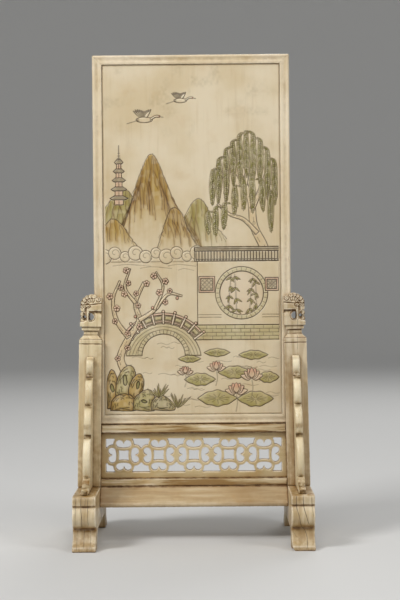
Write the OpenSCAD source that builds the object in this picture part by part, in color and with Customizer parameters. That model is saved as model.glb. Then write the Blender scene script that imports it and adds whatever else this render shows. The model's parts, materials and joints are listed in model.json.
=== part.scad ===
// Table screen: a framed plaque that drops into the grooves of a stand with two splayed posts,
// a pierced board between rails, standing brackets, slanted aprons and scroll feet.
// Millimetres. The front faces -Y, and the origin lies under the middle of the feet.

/* [Panel] */
// Width of the framed panel
panel_w = 114; // [106:1:124]
// Height of the framed panel
panel_h = 213.8; // [190:0.1:240]
// Thickness of the panel's frame, front to back
frame_t = 7; // [6:0.1:7.6]
// Width of the frame's border
frame_w = 5.5; // [5:0.1:7]
// Radius of the frame's outer edges
frame_edge_r = 1.2; // [0.6:0.1:1.6]
// Width of the hollow along the frame's faces
hollow_w = 2.9; // [2:0.1:3.2]
// Depth of that hollow
hollow_depth = 0.35; // [0.2:0.05:0.5]
// How far the plaque's faces lie behind the frame's faces
field_recess = 0.8; // [0.5:0.1:1.2]
// Width of the shadow line round the plaque's faces
field_gap = 0.8; // [0.5:0.1:1.2]
// Reach of the plaque's tongue into the frame
plaque_tongue = 2; // [1.5:0.1:2.2]
// Thickness of the plaque's tongue
plaque_tongue_t = 2.4; // [2:0.1:3]
// Distance of the mitre tenons from the frame's outer edge
mitre_tenon_set = 1.1; // [0.8:0.1:1.4]
// Thickness of the mitre tenons, front to back
mitre_tenon_t = 2.6; // [2:0.1:3.2]

/* [Relief] */
// Width that the garden on the plaque is drawn at
garden_w = 101.4; // [90:0.1:112]
// Plain margin at the plaque's edge for each millimetre of a shape's height
margin_slope = 1.5; // [1:0.1:3]
// Height of the farthest shapes, such as the hills
far_rise = 0.3; // [0.2:0.02:0.34]
// Height of the shapes in the middle, such as the garden wall
middle_rise = 0.4; // [0.36:0.02:0.44]
// Height of the nearest shapes, such as the rocks
near_rise = 0.55; // [0.46:0.02:0.7]
// Radius of the round gate's opening
gate_r = 12.7; // [11:0.1:13.5]
// Width of the ring round the gate
gate_ring_w = 2.5; // [1.5:0.1:3]
// Radius of the bridge's deck
deck_r = 22; // [20:0.1:24]
// Radius of the bridge's arch
arch_r = 12.5; // [11:0.1:14]
// Width of a willow spray
spray_w = 3.8; // [3:0.1:4.5]

/* [Posts] */
// Width of a post, side to side
post_w = 13.2; // [12:0.1:15]
// Depth of a post, front to back
post_d = 14; // [13:0.1:16]
// Inward lean of the posts, in degrees
post_splay = 1.07; // [0:0.01:1.5]
// Height of the plain shaft
shaft_h = 82.5; // [74:0.1:90]
// Height of the cut line above the shaft
line_h = 0.6; // [0.4:0.1:1]
// Depth of the cut line
line_depth = 0.5; // [0.3:0.1:0.8]
// Height of the plain band
band_h = 2.5; // [2:0.1:4]
// Height of the shallow cove between the band and the neck
cove_h = 2.7; // [2:0.1:3.5]
// Radius of that cove
cove_r = 5; // [4:0.1:8]
// Inset of the neck
neck_inset = 2.5; // [1.8:0.1:3]
// Height of the neck
neck_h = 2.2; // [1:0.1:2.5]
// Height of the fillet above the neck
fillet_h = 2.1; // [0.8:0.1:2.5]
// Inset of the fillet
fillet_inset = 1.4; // [1:0.1:1.7]
// Height of the slab under the head
abacus_h = 2.6; // [2:0.1:4]
// Inset of the slab under the head
abacus_inset = 0.35; // [0.2:0.05:0.8]
// Depth of the panel's edge in the post, measured at the upper rail
panel_grip = 3.55; // [3:0.05:4.2]

/* [Lion heads] */
// Height of a head
head_h = 16.4; // [15.5:0.1:19]
// Radius of the skull
skull_r = 7; // [6.4:0.1:7.4]
// Radius of a mane curl
curl_r = 1.6; // [1.2:0.1:1.9]
// Number of mane curls round the outer edge
curl_count = 6; // [4:1:7]
// Radius of the head's upper front and back edges
head_edge_r = 4; // [2:0.1:5]
// Radius of the open mouth
mouth_r = 2.1; // [1.6:0.1:2.3]
// Width of the open mouth, from its round back to the fang
mouth_w = 3; // [2.2:0.1:3.2]
// Height of the mouth's middle above the head's base
mouth_z = 3.3; // [3:0.1:3.8]
// Width across the opening behind the fang
fang_gap = 2.3; // [1.8:0.1:2.6]
// Width of the fang between the two openings
fang_w = 1.3; // [1:0.1:1.6]
// Radius of an eye
eye_r = 1.2; // [1:0.1:1.8]

/* [Rails and pierced board] */
// Depth of both rails, front to back
rail_d = 10; // [9:0.1:11.5]
// Height of the upper rail
upper_rail_h = 4.7; // [4:0.1:6]
// Height of the lower rail
lower_rail_h = 4.3; // [4:0.1:6]
// Length of the rails' tenons
rail_tenon_l = 4.5; // [3:0.1:5]
// Thickness of the rails' tenons, front to back
rail_tenon_t = 5; // [4:0.1:6]
// Shoulder under the upper rail's tenon and round the lower rail's
rail_shoulder = 0.8; // [0.5:0.1:1.2]
// Height of the pierced board between the rails
board_h = 26.7; // [25:0.1:30]
// Thickness of the pierced board
board_t = 5; // [4:0.1:6]
// Reach of the board's tongue into rails and posts
board_tongue = 1.6; // [1.2:0.1:2]
// Number of rosettes along the board
rosette_count = 5; // [3:1:5]
// Spacing of the rosettes
rosette_pitch = 20.4; // [20:0.1:20.6]
// Height of the pierced field
field_h = 19.4; // [18.8:0.1:20]
// Width of the bridge between the bean openings of neighbouring rosettes
bean_bridge = 2.8; // [2.5:0.1:2.9]
// Half the distance between a bean's two lobes
bean_half = 2.35; // [2.2:0.05:2.4]
// Radius of a bean's lobes
bean_r = 2.1; // [2:0.05:2.2]
// Distance from a bean's lobes to the centre of its long back
bean_back = 9; // [7:0.1:12]
// Width of the straps between the openings
strap_w = 1.6; // [1.5:0.05:1.7]
// Radius of the knots where neighbouring rosettes meet
knot_r = 1.3; // [1.1:0.1:1.6]

/* [Brackets] */
// Height of a standing bracket
bracket_h = 75.5; // [70:0.1:84]
// Thickness of a bracket
bracket_t = 4.2; // [3.4:0.1:5]
// Radius of the crown lobe
crown_r = 5.4; // [4.6:0.1:6]
// Radius of the upper lobe
upper_lobe_r = 9; // [8:0.1:10]
// Radius of the lower lobe
lower_lobe_r = 10; // [9:0.1:11]
// Radius of the belly
belly_r = 15; // [13.5:0.1:16]
// Reach of the crown lobe from the post
crown_reach = 5; // [4:0.1:6]
// Reach of the upper lobe from the post
upper_reach = 12; // [11:0.1:13]
// Reach of the lower lobe from the post
lower_reach = 18.5; // [17:0.1:20]
// Reach of the belly from the post
belly_reach = 24; // [22:0.1:25]
// Height of the notch under the crown lobe, below the bracket's top
crown_notch = 12; // [11:0.1:13]
// Height of the notch between the upper and lower lobes, below the bracket's top
lobe_notch = 27.5; // [26:0.1:29]
// Height of the notch above the belly, below the bracket's top
belly_notch = 44.5; // [43:0.1:46]
// Length of the bracket's toe on the foot
toe_l = 36; // [34:0.1:36.5]
// Thickness of the bracket's toe at its thinnest
toe_h = 2.2; // [1.8:0.1:3]
// Radius of the hollow between the belly and the toe
instep_r = 11; // [10:0.1:12]
// How far the toe's lip runs past the hollow's deepest line
toe_lip = 3; // [2:0.1:4]
// Thickness of the tongues in post and foot
tongue_t = 2; // [1.6:0.1:2.4]
// Depth of the bracket's tongue in the post
tongue_depth = 1.8; // [1.2:0.1:2.2]
// Depth of the bracket's tenon in the foot
toe_tenon_h = 3; // [2:0.1:4]
// Length of that tenon
toe_tenon_l = 8; // [5:0.1:9]

/* [Feet] */
// Height of the feet
foot_h = 30.5; // [28:0.1:34]
// Width of a foot, side to side
foot_w = 13.2; // [12:0.1:15]
// Length of a foot over its toes
foot_l = 100; // [94:1:110]
// How far the scroll lies behind the toe
scroll_set = 2.4; // [1.5:0.1:4]
// Radius of the scroll
scroll_r = 7; // [6.4:0.1:7.4]
// Height of the scroll's centre
scroll_z = 19; // [18:0.1:20]
// How far the throat between the scroll and the top band lies behind the toe
throat_set = 4.7; // [4.4:0.1:5.4]
// How far the top band lies behind the toe
cap_set = 3.8; // [3:0.1:5]
// Height of the top band
cap_h = 5.4; // [4.6:0.1:6]
// Radius of the top band's front edge
cap_r = 2.4; // [1:0.1:3]
// Radius of the hollow over the toe
toe_hollow_r = 10; // [9:0.1:11]
// How far that hollow's centre lies before the toe
toe_hollow_set = 2.6; // [1:0.1:4]
// Height of the toe's lip
toe_lip_h = 2.5; // [1.5:0.1:3]
// Length of the pads that stand on the table
pad_l = 13; // [11:0.5:16]
// Height of the arch between the pads
arch_h = 10; // [8:0.1:11.5]
// Width of the posts' tenons, side to side
post_tenon_w = 6; // [4:0.1:7]
// Depth of the posts' tenons, front to back
post_tenon_d = 7; // [5:0.1:9]
// Length of the posts' tenons
post_tenon_h = 13; // [9:0.1:15]

/* [Aprons] */
// Length of an apron down its slope
apron_l = 12.5; // [11:0.1:14]
// Thickness of an apron
apron_t = 3; // [2.4:0.1:3.4]
// Slope of an apron from upright, in degrees
apron_slope = 48; // [40:1:52]
// Length of the aprons' end tenons
apron_tenon_l = 2; // [1.2:0.1:2.4]
// Thickness of the aprons' end tenons
apron_tenon_t = 1.6; // [1.2:0.1:2]
// Shoulder above and below the aprons' end tenons
apron_shoulder = 3; // [2:0.1:4]

/* [Fits] */
// Clearance round joints that are glued
fit = 0.1; // [0.05:0.01:0.15]
// Clearance of the panel in its grooves
slide_gap = 0.3; // [0.2:0.05:0.4]

/* [Hidden] */
$fn = 96;

pale = "#efe5cc";
cream = "#e4d3ac";
honey = "#d8c092";
over = 1;
span = 400;

lower_rail_z = foot_h;
board_z = lower_rail_z + lower_rail_h;
upper_rail_z = board_z + board_h;
panel_z = upper_rail_z + upper_rail_h;

neck_stack_h = line_h + band_h + cove_h + neck_h + fillet_h + abacus_h;
head_z = shaft_h + neck_stack_h;
head_half = post_w / 2 - abacus_inset;
head_d = post_d - 2 * abacus_inset;
skull_x = head_half - skull_r;
skull_z = head_h - skull_r;

post_x = panel_w / 2 - panel_grip + (panel_z - foot_h) * tan(post_splay)
    + post_w / 2 / cos(post_splay);
foot_inner_x = post_x - foot_w / 2;

frame_groove_d = plaque_tongue + fit;
hollow_r = (hollow_w * hollow_w / 4 + hollow_depth * hollow_depth) / (2 * hollow_depth);
hollow_x = frame_edge_r + hollow_w / 2;
bean_back_r = sqrt(bean_half * bean_half + bean_back * bean_back) + bean_r;
pierced_w = rosette_count * rosette_pitch;
bean_set = (rosette_pitch - bean_bridge) / 2 - bean_r;
notch_drop = 1.5;

// The garden's shapes lie on the plaque's face: x from its middle line, y up from its lower edge
HILLS = [
    [[-51, 118], [-44, 127], [-38, 130], [-31, 121], [-26, 112]],
    [[-9, 100], [-3, 116], [3, 124], [8, 121], [13, 110], [20, 101]],
    [
        [-41, 104], [-35, 122], [-32, 133], [-28, 143], [-24, 150],
        [-20, 147], [-13, 130], [-5, 112], [0, 102]
    ],
    [[-20, 96], [-15, 112], [-11, 119], [-6, 116], [-2, 106], [3, 97]],
    [[-51, 108], [-46, 113], [-40, 109], [-34, 100], [-28, 93]]
];
hill_foot = 89;
WILLOW = [
    [[43, 84], [41.5, 96], [36, 108], [34.5, 122], [30, 134], [24, 143], [19, 149]],
    [[35, 118], [40, 130], [44, 141], [46, 150]],
    [[31, 132], [33, 145], [31, 156], [33, 163]],
    [[38, 104], [30, 112], [22, 115], [15, 121]]
];
WILLOW_W = [[5.6, 2], [3, 1.2], [2.6, 1], [2.6, 1]];
SPRAYS = [
    [48, 150, 30], [44, 157, 34], [40, 162, 30], [36, 166, 36], [32, 168, 30], [28, 165, 34],
    [24, 161, 30], [20, 157, 36], [16, 151, 30], [12.5, 144, 24], [46, 132, 28], [41, 138, 22],
    [35, 141, 26], [30, 139, 22], [25, 134, 20], [19, 124, 18], [14, 122, 20], [9.5, 119, 16]
];
PLUM = [
    [[-41, 8], [-38, 20], [-42, 32], [-37, 44], [-31, 54], [-33, 64], [-28, 76]],
    [[-37, 44], [-44, 54], [-46, 66], [-42, 77]],
    [[-31, 54], [-22, 60], [-14, 69], [-6, 68]],
    [[-33, 64], [-39, 73], [-36, 84]],
    [[-22, 60], [-17, 73], [-21, 82]]
];
PLUM_W = [[5.5, 1.6], [3, 1], [2.6, 0.9], [2, 0.8], [1.6, 0.8]];
ROCKS = [
    [[-50, 3], [-50.2, 18], [-47.5, 25.5], [-44.5, 22], [-42.5, 12], [-43, 3]],
    [[-44.5, 6], [-45, 14], [-43, 22], [-39.5, 27], [-35.5, 27.5], [-33.5, 23], [-34.5, 15], [-36, 6]],
    [[-37, 5], [-37.5, 14], [-34.5, 21], [-30.5, 23], [-28.5, 18], [-29.5, 11], [-27, 4]],
    [[-48, 2], [-47, 8], [-41, 11.5], [-35, 9.5], [-33, 2]],
    [[-35, 2], [-34, 9], [-28, 13.5], [-23.5, 12], [-22, 2]],
    [[-24.5, 2], [-24, 7], [-19, 10.5], [-14, 8], [-11, 2]]
];
LOTUS_LEAVES = [
    [-2, 31.5, 6.5, 2.1], [14, 35, 7.5, 2.3], [35, 33.5, 8.5, 2.6], [24, 23.5, 9.5, 3.6],
    [4, 19.5, 9, 3.6], [43.5, 20.5, 6.5, 3.2], [14, 8.5, 11.5, 4.6], [36, 8, 10.5, 4.4]
];
CRANES = [[-27, 170, 2.5], [-6, 181, 2]];
cloud_z = 91;
cloud_count = 9;
wall_x = 3;
wall_z = 51;
wall_top = 88;
coping_h = 8.2;
coping_reach = 1.6;
plinth_z = 42.5;
plinth_reach = 4.5;
gate = [28.5, 69.5];
WINDOWS = [[8.4, 74.5, 4.6], [46, 74.5, 3.8]];
bridge = [-17, 30];
bridge_z = 33.5;
handrail_z = 5;
handrail_w = 1.2;
baluster_count = 9;
pagoda = [-42, 121];
storey_count = 5;
storey_h = 5.2;

// Half the width between the posts' inner faces at height z
function inner_x(z) = post_x - (z - foot_h) * tan(post_splay) - post_w / 2 / cos(post_splay);

// A point of an apron's profile, down its slope and in from its front face
function apron_point(down, deep) = [
    -rail_d / 2 - down * sin(apron_slope) + deep * cos(apron_slope),
    foot_h - down * cos(apron_slope) - deep * sin(apron_slope)
];

// A shape drawn in the XZ plane, made as thick as depth and centred on Y
module front_slab(depth) {
    rotate([90, 0, 0])
        translate([0, 0, -depth / 2])
            linear_extrude(depth)
                children();
}

// A shape drawn in the YZ plane, made as wide as width and centred on X
module side_slab(width) {
    rotate([90, 0, 90])
        translate([0, 0, -width / 2])
            linear_extrude(width)
                children();
}

// A block from one corner to the other
module block(low, high) {
    translate(low)
        cube(high - low);
}

module left() {
    mirror([1, 0, 0])
        children();
}

module back() {
    mirror([0, 1, 0])
        children();
}

// The right post's own axes: upright along the leaning shaft, from the top of the foot
module on_post() {
    translate([post_x, 0, foot_h])
        rotate([0, -post_splay, 0])
            children();
}

module above_foot() {
    block([-span, -span, foot_h], [span, span, span]);
}

// Cross-section of the panel's frame, from its outer edge at x = 0 inwards
module frame_section() {
    difference() {
        union() {
            translate([frame_edge_r, -frame_t / 2])
                square([frame_w - frame_edge_r, frame_t]);
            translate([0, frame_edge_r - frame_t / 2])
                square([frame_edge_r, frame_t - 2 * frame_edge_r]);
            for (side = [-1, 1])
                translate([frame_edge_r, side * (frame_t / 2 - frame_edge_r)])
                    circle(frame_edge_r);
        }
        translate([frame_w - frame_groove_d, -plaque_tongue_t / 2 - fit])
            square([frame_groove_d + over, plaque_tongue_t + 2 * fit]);
        for (side = [-1, 1])
            translate([hollow_x, side * (frame_t / 2 + hollow_r - hollow_depth)])
                circle(hollow_r);
    }
}

// A frame bar standing on z = 0 with mitred ends
module frame_bar(bar_l) {
    intersection() {
        linear_extrude(bar_l)
            frame_section();
        front_slab(frame_t + over)
            polygon([[0, 0], [frame_w, frame_w], [frame_w, bar_l - frame_w], [0, bar_l]]);
    }
}

// The tenons that the frame's two rails send into its stiles, grown for the mortises
module mitre_tenons(grow, rail_z, up) {
    tenon_h = frame_w - frame_groove_d - mitre_tenon_set - 2 * fit;
    translate([0, 0, rail_z])
        mirror([0, 0, up ? 0 : 1])
            for (side = [0, 1])
                mirror([side, 0, 0])
                    block(
                        [panel_w / 2 - frame_w - over, -mitre_tenon_t / 2 - grow, mitre_tenon_set - grow],
                        [
                            panel_w / 2 - mitre_tenon_set + grow,
                            mitre_tenon_t / 2 + grow,
                            mitre_tenon_set + tenon_h + grow
                        ]
                    );
}

// A smooth line through chosen points
function smooth(points, steps = 3) =
    let (last = len(points) - 1)
    [
        for (i = [0:last - 1], step = [0:steps - 1])
            let (
                a = points[max(i - 1, 0)],
                b = points[i],
                c = points[i + 1],
                d = points[min(i + 2, last)],
                t = step / steps
            )
            b + (c - a) * t / 2 + (2 * a - 5 * b + 4 * c - d) * t * t / 2
                + (3 * b - a - 3 * c + d) * t * t * t / 2,
        points[last]
    ];

// Direction across a line of points at one of them
function across(line, i) =
    let (ahead = line[min(i + 1, len(line) - 1)] - line[max(i - 1, 0)])
    [-ahead.y, ahead.x] / norm(ahead);

// A band along a smooth line that tapers from one width to another
module tapered(points, widths) {
    line = smooth(points);
    last = len(line) - 1;
    half = [for (i = [0:last]) (widths[0] + (widths[1] - widths[0]) * i / last) / 2];
    polygon([
        for (i = [0:last]) line[i] + across(line, i) * half[i],
        for (i = [last:-1:0]) line[i] - across(line, i) * half[i]
    ]);
}

// A leaf shape between two arcs, from its tip at x = 0
module leaf(long, wide) {
    r = (long * long + wide * wide) / (4 * wide);
    intersection() {
        translate([long / 2, r - wide / 2])
            circle(r);
        translate([long / 2, wide / 2 - r])
            circle(r);
    }
}

module hills() {
    for (ridge = HILLS) {
        line = smooth(ridge);
        polygon([[line[0].x, hill_foot], each line, [line[len(line) - 1].x, hill_foot]]);
    }
}

// A crane in flight, with fanned wings and a drawn-out neck
module crane(size) {
    translate([-2 * size, 0])
        leaf(4 * size, 1.3 * size);
    for (turn = [60, 85, 110, 135])
        rotate(turn)
            leaf(3.2 * size, size);
    translate([1.2 * size, 0])
        rotate(18)
            leaf(3.3 * size, 0.6 * size);
}

module clouds() {
    cloud_w = garden_w / 2 + wall_x;
    for (i = [0:cloud_count])
        translate([i * cloud_w / cloud_count - garden_w / 2, cloud_z + 2 * (i % 2)])
            circle(4.2 - 0.6 * (i % 3));
    translate([-garden_w / 2, cloud_z - 3])
        square([cloud_w, 4]);
}

// A tower of shrinking storeys under upturned eaves
module tower() {
    for (i = [0:storey_count - 1]) {
        half = 4.2 - 0.55 * i;
        translate([-0.6 * half, i * storey_h])
            square([1.2 * half, storey_h]);
        translate([0, (i + 0.55) * storey_h])
            polygon([
                [-1.25 * half, 0.9],
                [-0.8 * half, 0],
                [0.8 * half, 0],
                [1.25 * half, 0.9],
                [0.5 * half, 0.5 * storey_h],
                [-0.5 * half, 0.5 * storey_h]
            ]);
    }
}

module willow() {
    for (i = [0:len(WILLOW) - 1])
        tapered(WILLOW[i], WILLOW_W[i]);
    for (spray = SPRAYS)
        translate([spray.x, spray.y])
            rotate(-90)
                leaf(spray.z, spray_w);
}

module garden_wall() {
    wall_w = garden_w / 2 - wall_x;
    difference() {
        translate([wall_x, wall_z])
            square([wall_w, wall_top - wall_z]);
        translate(gate)
            circle(gate_r + gate_ring_w / 4);
    }
    translate([wall_x - plinth_reach, plinth_z])
        square([wall_w + plinth_reach, wall_z - plinth_z]);
}

// What stands proud of the wall: its coping, the ring of the gate and the window frames
module wall_trim() {
    translate([wall_x - coping_reach, wall_top])
        square([garden_w / 2 - wall_x + coping_reach, coping_h]);
    translate(gate)
        difference() {
            circle(gate_r + gate_ring_w);
            circle(gate_r);
        }
    for (window = WINDOWS)
        translate([window.x, window.y])
            difference() {
                square(2 * window.z, center = true);
                square(2 * window.z - 2, center = true);
            }
}

module bridge_stones() {
    difference() {
        intersection() {
            translate(bridge)
                circle(deck_r);
            translate([-garden_w / 2, bridge_z])
                square([garden_w, deck_r]);
        }
        translate([bridge.x, bridge_z])
            circle(arch_r);
    }
}

module balustrade() {
    rail_r = deck_r + handrail_z;
    intersection() {
        translate(bridge) {
            difference() {
                circle(rail_r + handrail_w);
                circle(rail_r);
            }
            for (i = [0:baluster_count - 1])
                rotate(i * 108 / (baluster_count - 1) - 54)
                    translate([-handrail_w / 2, deck_r - over])
                        square([handrail_w, handrail_z + 2 * handrail_w + over]);
        }
        translate([bridge.x - deck_r, bridge_z + handrail_z])
            square([2 * deck_r, 2 * deck_r]);
    }
}

module lotus_leaves() {
    for (pad = LOTUS_LEAVES)
        translate([pad[0] - pad[2], pad[1]])
            leaf(2 * pad[2], 2 * pad[3]);
}

module plum() {
    for (i = [0:len(PLUM) - 1])
        tapered(PLUM[i], PLUM_W[i]);
}

module rocks() {
    for (rock = ROCKS) {
        line = smooth([each rock, rock[0]]);
        polygon([for (i = [0:len(line) - 2]) line[i]]);
    }
}

// Flat shapes of the garden, raised from the plaque's front face; the higher, the farther from its edge
module raised(rise) {
    field_w = panel_w - 2 * frame_w - 2 * field_gap;
    field_tall = panel_h - 2 * frame_w - 2 * field_gap;
    margin = margin_slope * rise;
    translate([0, field_recess + rise - frame_t / 2, panel_z + frame_w + field_gap])
        rotate([90, 0, 0])
            linear_extrude(2 * rise)
                intersection() {
                    scale(field_w / garden_w)
                        children();
                    translate([margin - field_w / 2, margin])
                        square([field_w - 2 * margin, field_tall - 2 * margin]);
                }
}

module garden() {
    raised(far_rise) {
        hills();
        for (bird = CRANES)
            translate([bird.x, bird.y])
                crane(bird.z);
    }
    raised(middle_rise) {
        clouds();
        translate(pagoda)
            tower();
        willow();
        garden_wall();
        bridge_stones();
        lotus_leaves();
    }
    raised(near_rise) {
        wall_trim();
        balustrade();
        plum();
        rocks();
    }
}

module plaque() {
    field_half = panel_w / 2 - frame_w;
    field_t = frame_t - 2 * field_recess;
    reach = plaque_tongue - fit;
    color(pale) {
        garden();
        block(
            [field_gap - field_half, -field_t / 2, panel_z + frame_w + field_gap],
            [field_half - field_gap, field_t / 2, panel_z + panel_h - frame_w - field_gap]
        );
        block(
            [-field_half - reach, -plaque_tongue_t / 2, panel_z + frame_w - reach],
            [field_half + reach, plaque_tongue_t / 2, panel_z + panel_h - frame_w + reach]
        );
    }
}

module panel_stile() {
    color(pale)
        difference() {
            translate([panel_w / 2, 0, panel_z])
                mirror([1, 0, 0])
                    frame_bar(panel_h);
            mitre_tenons(fit, panel_z, true);
            mitre_tenons(fit, panel_z + panel_h, false);
        }
}

module panel_rail_top() {
    color(pale) {
        translate([-panel_w / 2, 0, panel_z + panel_h])
            rotate([0, 90, 0])
                frame_bar(panel_w);
        mitre_tenons(0, panel_z + panel_h, false);
    }
}

module panel_rail_bottom() {
    color(pale) {
        translate([-panel_w / 2, 0, panel_z])
            mirror([0, 0, 1])
                rotate([0, 90, 0])
                    frame_bar(panel_w);
        mitre_tenons(0, panel_z, true);
    }
}

// The mouldings above the shaft, in outline, for a post that is width across
module neck_outline(width) {
    cove_z = line_h + band_h;
    neck_z = cove_z + cove_h;
    fillet_z = neck_z + neck_h;
    cove_chord = [neck_inset, cove_h];
    cove_middle = [-width / 2, cove_z] + cove_chord / 2;
    cove_away = sqrt(cove_r * cove_r - cove_chord * cove_chord / 4) / norm(cove_chord);
    cove_centre = cove_middle + cove_away * [-cove_chord.y, cove_chord.x];
    translate([line_depth - width / 2, 0])
        square([width - 2 * line_depth, line_h]);
    translate([-width / 2, line_h])
        square([width, band_h]);
    difference() {
        polygon([
            [-width / 2, cove_z],
            [width / 2, cove_z],
            [width / 2 - neck_inset, neck_z],
            [neck_inset - width / 2, neck_z]
        ]);
        for (side = [-1, 1])
            translate([side * cove_centre.x, cove_centre.y])
                circle(cove_r);
    }
    translate([neck_inset - width / 2, neck_z])
        square([width - 2 * neck_inset, neck_h]);
    translate([fillet_inset - width / 2, fillet_z])
        square([width - 2 * fillet_inset, fillet_h]);
    translate([abacus_inset - width / 2, fillet_z + fillet_h])
        square([width - 2 * abacus_inset, abacus_h]);
}

// The head seen from the front, facing outwards, with mane curls round its skull
module head_front() {
    curl_ring = skull_r - curl_r;
    translate([-head_half, 0])
        square([2 * head_half - curl_r, skull_z]);
    translate([-head_half, 0])
        square([head_half + skull_x, head_h - curl_r]);
    translate([skull_x, skull_z])
        circle(curl_ring);
    for (i = [0:curl_count - 1])
        translate([skull_x, skull_z])
            rotate(i * 100 / (curl_count - 1))
                translate([curl_ring, 0])
                    circle(curl_r);
    for (i = [0:2])
        translate([head_half - curl_r, curl_r + i * (skull_z - 2 * curl_r) / 2])
            circle(curl_r);
}

// The head seen from the side, rounded over its top
module head_side() {
    translate([-head_d / 2, 0])
        square([head_d, head_h - head_edge_r]);
    translate([head_edge_r - head_d / 2, 0])
        square([head_d - 2 * head_edge_r, head_h]);
    for (side = [-1, 1])
        translate([side * (head_d / 2 - head_edge_r), head_h - head_edge_r])
            circle(head_edge_r);
}

// The openings of the mouth, on either side of the fang
module mouth() {
    fang_x = head_half - curl_r - fang_gap - fang_w / 2;
    difference() {
        translate([fang_x - fang_w / 2 - mouth_w + mouth_r, mouth_z])
            circle(mouth_r);
        translate([fang_x - fang_w / 2, mouth_z - 2 * mouth_r])
            square(4 * mouth_r);
    }
    translate([fang_x + fang_w / 2 + fang_gap / 2, mouth_z])
        rotate(45)
            square(fang_gap / sqrt(2), center = true);
}

module head_eyes() {
    for (side = [-1, 1])
        translate([skull_x + skull_r / 3, side * (head_d / 2 - eye_r / 2), head_z + skull_z])
            sphere(eye_r);
}

module post_blank() {
    intersection() {
        front_slab(post_d + over) {
            translate([-post_w / 2, -over])
                square([post_w, shaft_h + over]);
            translate([0, shaft_h])
                neck_outline(post_w);
            translate([0, head_z])
                head_front();
        }
        side_slab(post_w + over) {
            translate([-post_d / 2, -over])
                square([post_d, shaft_h + over]);
            translate([0, shaft_h])
                neck_outline(post_d);
            translate([0, head_z])
                head_side();
        }
    }
    head_eyes();
}

module post_tenon(grow) {
    block(
        [post_x - post_tenon_w / 2 - grow, -post_tenon_d / 2 - grow, foot_h - post_tenon_h - grow],
        [post_x + post_tenon_w / 2 + grow, post_tenon_d / 2 + grow, foot_h + over]
    );
}

// The groove that the panel slides down, open at the top of the post
module panel_groove() {
    block(
        [0, -frame_t / 2 - slide_gap, panel_z],
        [panel_w / 2 + slide_gap, frame_t / 2 + slide_gap, span]
    );
}

// The tenons of a rail at both ends, grown for the mortises
module rail_tenons(low_z, high_z, grow) {
    reach = inner_x(high_z) + rail_tenon_l + grow;
    block(
        [-reach, -rail_tenon_t / 2 - grow, low_z - grow],
        [reach, rail_tenon_t / 2 + grow, high_z + grow]
    );
}

module upper_rail_tenons(grow) {
    rail_tenons(upper_rail_z + rail_shoulder, panel_z, grow);
}

module lower_rail_tenons(grow) {
    rail_tenons(lower_rail_z + rail_shoulder, board_z - rail_shoulder, grow);
}

// The space between the leaning posts from one height to another, widened by grow
module between_posts(low_z, high_z, grow, depth) {
    front_slab(depth)
        polygon([
            [-inner_x(low_z) - grow, low_z],
            [inner_x(low_z) + grow, low_z],
            [inner_x(high_z) + grow, high_z],
            [-inner_x(high_z) - grow, high_z]
        ]);
}

module bracket_grooves() {
    for (side = [-1, 1])
        translate([0, side * post_d / 2, 0])
            block(
                [-tongue_t / 2 - fit, -tongue_depth - fit, -over],
                [tongue_t / 2 + fit, tongue_depth + fit, bracket_h - 2 * crown_r + fit]
            );
}

module post() {
    color(cream)
        difference() {
            union() {
                intersection() {
                    on_post()
                        post_blank();
                    above_foot();
                }
                post_tenon(0);
            }
            panel_groove();
            upper_rail_tenons(fit);
            lower_rail_tenons(fit);
            between_posts(board_z, upper_rail_z, board_tongue + fit, board_t + 2 * fit);
            on_post() {
                bracket_grooves();
                translate([0, 0, head_z])
                    front_slab(span)
                        mouth();
            }
        }
}

module board_tongue_slot(low_z, high_z) {
    block([-span, -board_t / 2 - fit, low_z], [span, board_t / 2 + fit, high_z]);
}

module upper_rail() {
    color(cream)
        difference() {
            union() {
                between_posts(upper_rail_z, panel_z, 0, rail_d);
                upper_rail_tenons(0);
            }
            board_tongue_slot(upper_rail_z - over, upper_rail_z + board_tongue + fit);
        }
}

module lower_rail() {
    color(cream)
        difference() {
            union() {
                between_posts(lower_rail_z, board_z, 0, rail_d);
                lower_rail_tenons(0);
            }
            board_tongue_slot(board_z - board_tongue - fit, board_z + over);
        }
}

// A bean opening with its notch upwards, grown by grow
module bean(grow) {
    back_centre = [0, bean_back];
    lobe = [bean_half, 0];
    tip = back_centre + (lobe - back_centre) * 2;
    for (side = [-1, 1])
        translate([side * bean_half, 0])
            circle(bean_r + grow);
    intersection() {
        translate(back_centre)
            circle(bean_back_r + grow);
        polygon([[-lobe.x, lobe.y], lobe, tip, [-tip.x, tip.y]]);
    }
}

// The four beans round each rosette's centre, along the whole board
module beans(grow) {
    for (i = [0:rosette_count - 1], turn = [0:90:270])
        translate([(i - (rosette_count - 1) / 2) * rosette_pitch, 0])
            rotate(turn)
                translate([0, bean_set])
                    bean(grow);
}

// The knots between neighbouring rosettes and at the ends of the row
module knots() {
    for (i = [0:rosette_count])
        translate([(i - rosette_count / 2) * rosette_pitch, 0])
            circle(knot_r);
}

module piercings() {
    beans(0);
    difference() {
        square([pierced_w, field_h], center = true);
        beans(strap_w);
        knots();
    }
}

module pierced_board() {
    reach = board_tongue - fit;
    color(honey)
        difference() {
            union() {
                between_posts(board_z, upper_rail_z, reach, board_t);
                between_posts(board_z - reach, upper_rail_z + reach, -over, board_t);
            }
            translate([0, 0, (board_z + upper_rail_z) / 2])
                front_slab(board_t + over)
                    piercings();
        }
}

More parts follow.
